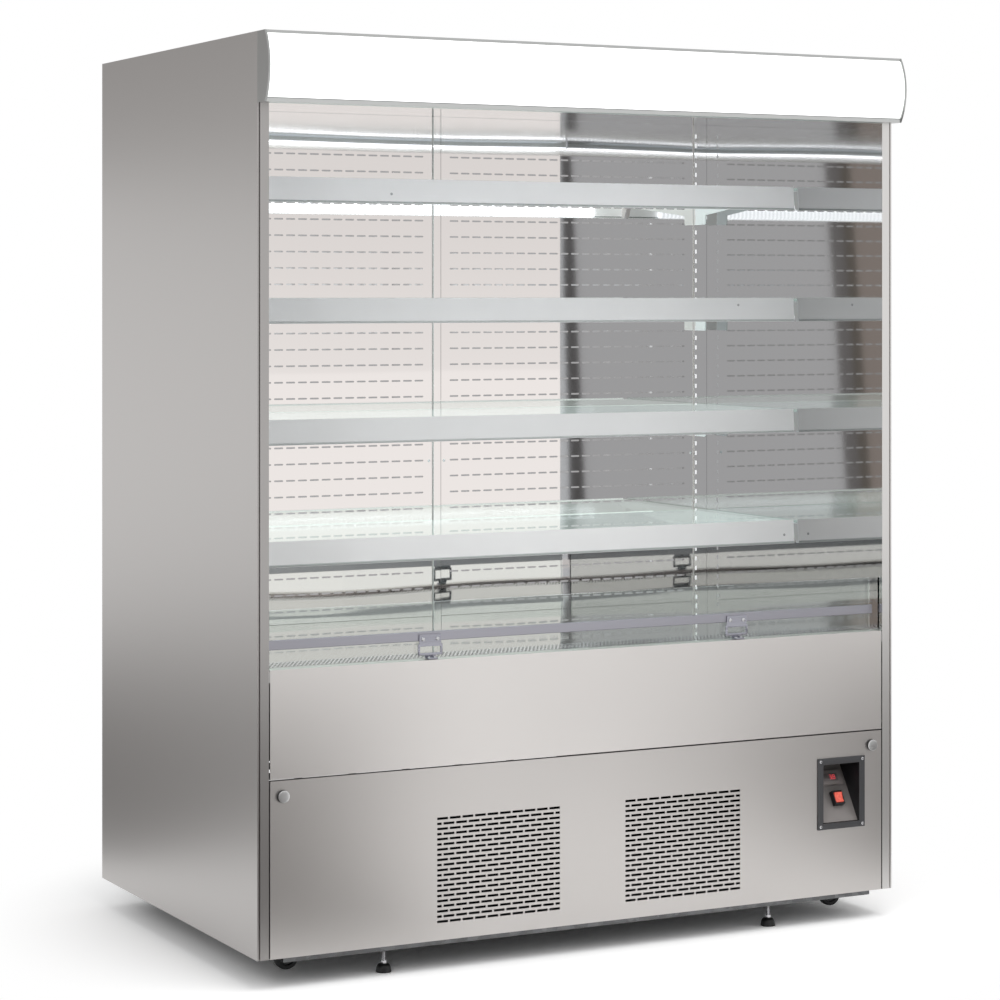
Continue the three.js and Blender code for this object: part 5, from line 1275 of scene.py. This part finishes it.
def screw_head(radius, height, segments=20):
    """A domed head that faces +Z, with a cross recess and a flat underside at 0."""
    sides = [(1.0, 0.0), (1.0, 0.35), (0.93, 0.66), (0.78, 0.88)]
    bm = bmesh.new()
    rings = [[bm.verts.new((x, y, height * up)) for x, y in round_ring(0, 0, radius * share, segments)]
             for share, up in sides]
    for low_ring, high_ring in zip(rings, rings[1:]):
        wall_between(bm, low_ring, high_ring)
    bm.faces.new(rings[0])
    top = cut_faces(bm, [round_ring(0, 0, radius * 0.6, segments),
                         cross_ring(radius * 0.5, radius * 0.11)], height)
    wall_between(bm, rings[-1], top[0])
    floor_loop = [bm.verts.new((v.co.x * 0.8, v.co.y * 0.8, height * 0.45)) for v in top[1]]
    wall_between(bm, top[1], floor_loop)
    bm.faces.new(floor_loop)
    bmesh.ops.recalc_face_normals(bm, faces=bm.faces[:])
    return bm


def heads_tree():
    tree = bpy.data.node_groups.new("heads_on_places", "GeometryNodeTree")
    given = group_inputs(tree, [("Places", "NodeSocketObject"), ("Head", "NodeSocketObject"),
                                ("Finish", "NodeSocketMaterial")])
    places = add_node(tree, "GeometryNodeObjectInfo", {"Object": given["Places"]})
    points = add_node(tree, "GeometryNodeMeshToPoints", {"Mesh": places.outputs["Geometry"]})
    head = add_node(tree, "GeometryNodeObjectInfo", {"Object": given["Head"]})
    heads = add_node(tree, "GeometryNodeInstanceOnPoints", {
        "Points": points.outputs[0], "Instance": head.outputs["Geometry"]})
    finish_tree(tree, heads.outputs[0], given["Finish"], None)
    return tree


HEADS = heads_tree()


def screws(name, places, radius, height, facing, finish, body):
    """Screw heads at these places of the frame, all facing one way."""
    head = screw_head(radius, height)
    bmesh.ops.transform(head, matrix=facing, verts=head.verts)
    dots = bmesh.new()
    for place in places:
        dots.verts.new(place)
    mesh = run_tree(HEADS, name, {
        "Places": tool_object(name + "_places", dots), "Head": tool_object(name + "_head", head),
        "Finish": finish})
    return mesh_piece(name, mesh, finish, body)


low, high = corners_of("back_panel_right")
PANEL_SCREW_X = mm(19.5)             # from the middle of the fridge, in the margin beside the slots
SCREW_STEP = mm(364.3)
LOWEST_PANEL_SCREW = mm(631.7)
panel_screws = [(side * x, low.y, LOWEST_PANEL_SCREW + level * SCREW_STEP)
                for side in (-1, 1) for x in (PANEL_SCREW_X, high.x - mm(8)) for level in (1, 2)]
screws("back_panel_screws", panel_screws, mm(3.2), mm(1.8), FACING_FRONT, chrome, "cabinet")

low, high = corners_of("rear_cover")
cover_screws = [(x, high.y - mm(2.3), z)
                for x in (low.x + mm(14), low.x * 0.34, high.x * 0.34, high.x - mm(14))
                for z in (low.z + mm(60), high.z - mm(16))]
screws("rear_cover_screws", cover_screws, mm(4.0), mm(2.2), FACING_BACK, zinc, "cabinet")
print("screw trees ready,", len(panel_screws) + len(cover_screws), "screws on the panels")

# %% [markdown]
# ## Canopy seal
# The lit cover snaps into its housing over a thin black seal, which shows as a dark line under it.

# %% Seal under the lit cover
low, high = corners_of("canopy_lens")
SEAL_HEIGHT = mm(3.2)
lower_front = min(v.co.y for v in nodes["canopy_lens"].data.vertices if v.co.z < low.z + mm(0.5))
seal = cut_plate([round_ring(0, 0, SEAL_HEIGHT / 2, 12)], high.x - low.x - mm(1))
piece("canopy_seal", seal, black_abs, "cabinet",
      moved(high.x - mm(0.5), lower_front + mm(0.9), low.z + mm(0.2)) @ turned_about("Y", 90))
print("seal", round((high.x - low.x) * 1000), "mm long")

# %% [markdown]
# ## Rail lips
# The front rail of each shelf is rolled over at its lower edge. The small round lip catches less
# light than the flat face, and its coat is painted darker as that shade, so it draws a darker line.

# %% Rolled lip under each rail
LIP_RADIUS = mm(2.6)
RAIL_HEIGHT = mm(54.5)               # the rail's lower edge lies this far below the shelf's top
for name in numbered("shelf_frame"):
    low, high = corners_of(name)
    lip = cut_plate([round_ring(0, 0, LIP_RADIUS, 16)], high.x - low.x - mm(1))
    place = moved(high.x - mm(0.5), low.y + mm(1.6), high.z - RAIL_HEIGHT + mm(2.8))
    piece(name + "_lip", lip, lip_enamel, "shelf_" + name[-1], place @ turned_about("Y", 90))
    front, foot, bottom = low.y + mm(5.4), low.y + mm(0.6), high.z - RAIL_HEIGHT + mm(0.4)
    side = [(front, high.z - mm(0.6)), (foot, bottom), (foot + mm(12), bottom),
            (front + mm(28), high.z - mm(9)), (front + mm(2.4), high.z - mm(8))]
    sheet = cut_plate([side], mm(1.0))
    on_end = Matrix(((0, 0, 1, 0), (1, 0, 0, 0), (0, 1, 0, 0), (0, 0, 0, 1)))
    caps = joined(*[(sheet.copy(), moved(x, 0, 0) @ on_end) for x in (low.x + mm(1.2), high.x - mm(0.2))])
    piece(name + "_rail_ends", caps, cap_enamel, "shelf_" + name[-1])
    sheet.free()
print("lips and end plates on four rails")

# %% Plastic plugs in the rails
# The price rails are held by blind plugs, of which three show on the photographed fridge.
PLUGS = {"2": mm(579.1), "4": mm(703.8), "1": -mm(305.2)}
PLUG_HEIGHT = {"2": mm(1360.1), "4": mm(825.3), "1": mm(1601.8)}
for index, x in PLUGS.items():
    low, high = corners_of("shelf_frame_" + index)
    down = high.z - PLUG_HEIGHT[index]
    face = low.y + mm(5) * (1 - down / RAIL_HEIGHT)
    plug = turned([(0, -mm(0.2)), (mm(3), -mm(0.2)), (mm(3), mm(0.25)), (mm(2.2), mm(0.5)), (0, mm(0.6))], 20)
    piece("rail_plug_" + index, plug, plug_plastic, "shelf_" + index,
          moved(x, face, PLUG_HEIGHT[index]) @ FACING_FRONT)
print("rail plugs:", len(PLUGS))

# %% [markdown]
# ## Guard clamps
# Each clamp is cut from ground stainless plate: a foot screwed to the rim of the well, a narrow
# neck, a square window and a plate over the rail. Its sizes are the CAD model's.

# %% Guard clamps
def clamp_outline():
    neck, frame_half, plate_half = mm(11), mm(28), mm(25)
    neck_top, frame_top, plate_top = mm(7), mm(30), mm(50)
    right = [(neck, 0), (neck + mm(3), neck_top), (frame_half, neck_top), (frame_half, frame_top),
             (plate_half, frame_top), (plate_half, plate_top)]
    return right + [(-x, y) for x, y in reversed(right)]


CLAMP_SHEET = mm(3)
CLAMP_WINDOW = box_ring(-mm(23), mm(23), mm(12), mm(25))
for name in ("guard_clamp_left", "guard_clamp_right"):
    low, high = corners_of(name)
    middle = (low.x + high.x) / 2
    plate_front = high.y - CLAMP_SHEET
    plate = broken_edges(cut_plate([clamp_outline(), CLAMP_WINDOW], CLAMP_SHEET), mm(0.5))
    foot_ring = box_ring(-mm(11), mm(11), low.y, plate_front)
    foot_plate = broken_edges(cut_plate([foot_ring], CLAMP_SHEET), mm(0.7))
    clamp = joined((plate, moved(middle, plate_front, low.z) @ FACING_FRONT),
                   (foot_plate, moved(middle, 0, low.z + CLAMP_SHEET)))
    piece("ground_" + name, clamp, clamp_steel, "cabinet", None, [name])
    on_front = [(middle + side * mm(16.5), plate_front, low.z + mm(40)) for side in (-1, 1)]
    on_foot = [(middle + side * mm(6.5), plate_front - mm(7), low.z + CLAMP_SHEET) for side in (-1, 1)]
    screws(name + "_plate_screws", on_front, mm(4.2), mm(2.4), FACING_FRONT, chrome, "cabinet")
    screws(name + "_foot_screws", on_foot, mm(3.2), mm(2.0), Matrix(), chrome, "cabinet")

# %% [markdown]
# ## Knobs
# A quarter turn of a knob swings a tongue behind the frame and holds the service panel. The knob
# is a black moulded body with a chromed face.

# %% Knobs
def dome(radius, height, steps=10, lip=0.0):
    """Profile of a shallow dome above a short straight rim."""
    points = [(0, 0), (radius, 0), (radius, lip)]
    for step in range(1, steps + 1):
        angle = math.pi / 2 * step / steps
        points.append((radius * math.cos(angle), lip + (height - lip) * math.sin(angle)))
    points[-1] = (0, height)
    return points


PANEL_FRONT = corners_of("service_panel")[0].y
for side, name in ((-1, "knob_left"), (1, "knob_right")):
    low, high = corners_of(name)
    centre = ((low.x + mm(12.5)) if side > 0 else (high.x - mm(12.5)), (low.z + high.z) / 2)
    out = moved(centre[0], PANEL_FRONT, centre[1]) @ FACING_FRONT
    washer = turned([(0, mm(0.3)), (mm(12.5), mm(0.3)), (mm(12.5), mm(6)), (mm(11.9), mm(6.6)),
                     (0, mm(6.6))], 48)
    cap = turned(dome(mm(12.1), mm(1.2), lip=mm(0.5)), 48)
    shaft = turned([(0, -mm(8.5)), (mm(4), -mm(8.5)), (mm(4), mm(1)), (0, mm(1))], 24)
    left, right = (-mm(4.5), mm(18)) if side > 0 else (-mm(18), mm(4.5))
    tongue_ring = box_ring(left, right, -mm(4.5), mm(4.5))
    tongue = broken_edges(cut_plate([tongue_ring], mm(2.3)), mm(0.6))
    behind = joined((shaft, Matrix()), (tongue, moved(0, 0, -mm(6.5))))
    piece(name + "_body", washer, black_abs, name, out)
    piece(name + "_face", cap, knob_plate, name, out @ moved(0, 0, mm(6.65)), [name])
    piece(name + "_tongue", behind, zinc, name, out)
print("knobs done")

# %% [markdown]
# ## Control recess
# The thermostat and the main switch sit on a plate that leans back in a black recess. The plate's
# own axes are used for both: X across, Y into the plate, Z up along it.

# %% Bezel, thermostat and switch
bezel_low, bezel_high = corners_of("control_bezel")
BEZEL_SHEET = mm(3)
bezel_back = bezel_high.y
bezel_size = (bezel_high.x - bezel_low.x, bezel_high.z - bezel_low.z)
WINDOW_SIDE, WINDOW_BOTTOM, WINDOW_TOP = mm(14.5), mm(13), mm(142.5)
window_ring = box_ring(WINDOW_SIDE, bezel_size[0] - WINDOW_SIDE, WINDOW_BOTTOM, WINDOW_TOP)
bezel = broken_edges(cut_plate([box_ring(0, bezel_size[0], 0, bezel_size[1]), window_ring], BEZEL_SHEET),
                     mm(1.1), 3)
bezel_front = bezel_back - BEZEL_SHEET
piece("control_bezel_frame", bezel, bezel_enamel, "service_panel",
      moved(bezel_low.x, bezel_front, bezel_low.z) @ FACING_FRONT, ["control_bezel"])
SCREW_INSET = mm(7)
bezel_screws = [(x, bezel_front, z) for x in (bezel_low.x + SCREW_INSET, bezel_high.x - SCREW_INSET)
                for z in (bezel_low.z + SCREW_INSET, bezel_high.z - SCREW_INSET)]
screws("bezel_screws", bezel_screws, mm(3.5), mm(1.8), FACING_FRONT, chrome, "service_panel")

PLATE_LEAN = math.degrees(math.atan2(78, 125.5))    # it goes back 78 mm over a rise of 125.5 mm
PLATE_FOOT = mm(221)                 # above the floor
bezel_middle = (bezel_low.x + bezel_high.x) / 2
plate_axes = moved(bezel_middle, PANEL_FRONT + mm(4), PLATE_FOOT) @ turned_about("X", -PLATE_LEAN)


def on_plate(across, out, up):
    """A drawing that faces +Z, stood on the leaning plate, so far out from its face."""
    return plate_axes @ moved(across, -out, up) @ FACING_FRONT


GAUGE_WIDTH, GAUGE_HEIGHT, GAUGE_DEPTH, GAUGE_PLACE = mm(74), mm(34), mm(9), mm(101)
gauge_ring = box_ring(-GAUGE_WIDTH / 2, GAUGE_WIDTH / 2, -GAUGE_HEIGHT / 2, GAUGE_HEIGHT / 2)
gauge_face = broken_edges(cut_plate([gauge_ring], GAUGE_DEPTH), mm(2), 3)
gauge_body = cut_plate([box_ring(-mm(34.5), mm(34.5), -mm(14.5), mm(14.5))], mm(26))
gauge = joined((gauge_face, moved(0, 0, GAUGE_DEPTH + mm(0.3))), (gauge_body, Matrix()))
piece("thermostat_case", gauge, gauge_plastic, "service_panel",
      on_plate(0, 0, GAUGE_PLACE), ["thermostat"])
window = broken_edges(cut_plate([box_ring(-mm(14), mm(24), -mm(9), mm(9))], mm(1.2)), mm(0.4))
piece("thermostat_window", window, display_window, "service_panel",
      on_plate(0, GAUGE_DEPTH + mm(0.7), GAUGE_PLACE))

# %% Digits and buttons
SEGMENTS = {"3": "abcdg", "8": "abcdefg"}
DIGIT_WIDTH, DIGIT_HEIGHT, BAR = mm(5), mm(9.5), mm(1.1)


def bar_ring(x0, y0, x1, y1):
    """A bar with pointed ends between two places, level or upright."""
    half = BAR / 2
    if abs(y1 - y0) < 1e-6:
        return [(x0, y0), (x0 + half, y0 - half), (x1 - half, y1 - half), (x1, y1), (x1 - half, y1 + half),
                (x0 + half, y0 + half)]
    return [(x0, y0), (x0 + half, y0 + half), (x1 + half, y1 - half), (x1, y1), (x1 - half, y1 - half),
            (x0 - half, y0 + half)]


def segment_rings(digit, left, bottom):
    """The lit bars of one seven-segment digit."""
    right, middle, top = left + DIGIT_WIDTH, bottom + DIGIT_HEIGHT / 2, bottom + DIGIT_HEIGHT
    places = {
        "a": (left, top, right, top), "b": (right, middle, right, top), "c": (right, bottom, right, middle),
        "d": (left, bottom, right, bottom), "e": (left, bottom, left, middle),
        "f": (left, middle, left, top), "g": (left, middle, right, middle)}
    return [bar_ring(*places[letter]) for letter in SEGMENTS[digit]]


bars = [ring for place, digit in enumerate("38")
        for ring in segment_rings(digit, mm(3 + 8.5 * place), -mm(4.7))]
bars.append(round_ring(mm(9.7), mm(-4.7), mm(0.7), 10))
digits = joined(*[(cut_plate([ring], mm(0.4)), Matrix()) for ring in bars])
piece("thermostat_digits", digits, red_digits, "service_panel",
      on_plate(0, GAUGE_DEPTH + mm(1.1), GAUGE_PLACE))
button_rings = [round_ring(mm(-30 + 9 * column), mm(4.5 - 9 * row), mm(2.6), 20)
                for column in (0, 1) for row in (0, 1)]
buttons = joined(*[(broken_edges(cut_plate([ring], mm(1.2)), mm(0.4)), Matrix()) for ring in button_rings])
piece("thermostat_buttons", buttons, black_abs, "service_panel",
      on_plate(0, GAUGE_DEPTH + mm(1.3), GAUGE_PLACE))

SWITCH_ACROSS, SWITCH_PLACE, SWITCH_DEPTH = mm(8), mm(52), mm(13)
collar = broken_edges(cut_plate([box_ring(-mm(13), mm(13), -mm(16), mm(16)),
                                 box_ring(-mm(10), mm(10), -mm(13), mm(13))], SWITCH_DEPTH), mm(1.1), 3)
cup = cut_plate([box_ring(-mm(11.5), mm(11.5), -mm(14.5), mm(14.5))], mm(2))
switch_case = joined((collar, moved(0, 0, SWITCH_DEPTH + mm(0.3))), (cup, moved(0, 0, -mm(8))))
piece("switch_case", switch_case, black_abs, "service_panel",
      on_plate(SWITCH_ACROSS, 0, SWITCH_PLACE), ["rocker_housing"])


def rocker_profile():
    """The rocker from its side, round its axle: a hollowed front between two rounded ends."""
    half, front, back = mm(11.5), mm(6.6), -mm(4)
    shares = [2 * step / 12 - 1 for step in range(13)]
    hollow = [(front - mm(2.2) * (1 - share ** 2), half * 0.93 * share) for share in shares]
    ends = [(mm(3), half), (back, half * 0.7)]
    return hollow + ends + [(x, -y) for x, y in reversed(ends)]


key = broken_edges(cut_plate([rocker_profile()], mm(19.4)), mm(0.7), 2)
axle = plate_axes @ moved(SWITCH_ACROSS, -mm(10), SWITCH_PLACE) @ turned_about("X", 9)
side_on = Matrix(((0, 0, -1, 0), (-1, 0, 0, 0), (0, 1, 0, 0), (0, 0, 0, 1))) @ moved(0, 0, mm(9.7))
piece("rocker_key", key, red_rocker, "rocker", axle @ side_on, ["rocker"])
print("control recess done")

# %% [markdown]
# ## Feet and castors
# Each levelling foot is a rubber cup, a nut and a threaded stud; the thread is drawn as grooves
# 1.5 mm apart. Each castor wheel is a rubber tyre on a moulded hub, and its axle ends in two
# chromed caps.

# %% Feet
def grooved(radius, bottom, top, pitch=mm(1.5), depth=mm(0.6)):
    steps = int((top - bottom) / pitch)
    points = [(0, bottom), (radius - depth, bottom)]
    for step in range(steps):
        start = bottom + step * pitch
        points += [(radius, start + pitch * 0.35), (radius, start + pitch * 0.5),
                   (radius - depth, start + pitch * 0.85)]
    return points + [(radius - depth, top), (0, top)]


def rubber_cup():
    """A domed cup with a lip that lies on the floor."""
    rise = [(mm(15.4), 0), (mm(16.2), mm(0.8)), (mm(16.2), mm(2.4)), (mm(15.6), mm(4.5))]
    shoulder = [(mm(15.6) - mm(8.6) * (step / 6) ** 1.8,
                 mm(4.5) + mm(13.2) * math.sin(math.pi / 2 * step / 6)) for step in range(1, 7)]
    return [(0, 0)] + rise + shoulder + [(0, mm(17.7))]


for name in numbered("foot"):
    low, high = corners_of(name)
    stand = moved((low.x + high.x) / 2, (low.y + high.y) / 2, low.z)
    nut = broken_edges(cut_plate([round_ring(0, 0, mm(7), 6)], mm(6)), mm(0.6))
    stud = turned(grooved(mm(4.5), mm(23.8), high.z - low.z), 24)
    piece(name + "_rubber_cup", turned(rubber_cup(), 48), cup_rubber, name, stand, [name])
    piece(name + "_nut", nut, chrome, name, stand @ moved(0, 0, mm(24)))
    piece(name + "_stud", stud, chrome, name, stand)

# %% Castor wheels
def tyre():
    radius, half, edge = mm(25), mm(9), mm(4)
    angles = [math.pi / 2 * step / 6 for step in range(7)]
    outside = [(radius - edge + edge * math.sin(angle), -half + edge - edge * math.cos(angle))
               for angle in angles]
    outer = outside + [(r, -h) for r, h in reversed(outside)]
    return outer + [(mm(16.5), half), (mm(16), half - mm(1)), (mm(16), -half + mm(1)), (mm(16.5), -half)]


def hub():
    half = mm(8.2)
    return [(mm(4.4), -half), (mm(7), -half), (mm(8), -half + mm(2.5)), (mm(14.5), -half + mm(2.5)),
            (mm(15.9), -half + mm(0.6)), (mm(15.9), half - mm(0.6)), (mm(14.5), half - mm(2.5)),
            (mm(8), half - mm(2.5)), (mm(7), half), (mm(4.4), half)]


for index in range(1, 5):
    wheel, fork = f"castor_wheel_{index}", f"castor_fork_{index}"
    low, high = corners_of(wheel)
    centre = (low + high) / 2
    level_axle = moved(*centre) @ FACING_FRONT
    piece(wheel + "_tyre", turned(tyre(), 64, closed=True), castor_rubber, wheel,
          level_axle, [wheel])
    piece(wheel + "_hub", turned(hub(), 48, closed=True), black_abs, wheel, level_axle)
    reach = mm(9) + mm(3)
    caps = joined((turned(dome(mm(3.8), mm(1.6)), 24), moved(0, 0, reach)),
                  (turned(dome(mm(3.8), mm(1.6)), 24), moved(0, 0, -reach) @ FACING_DOWN))
    piece(fork + "_axle_caps", caps, chrome, fork, level_axle)
print("feet and castors done")
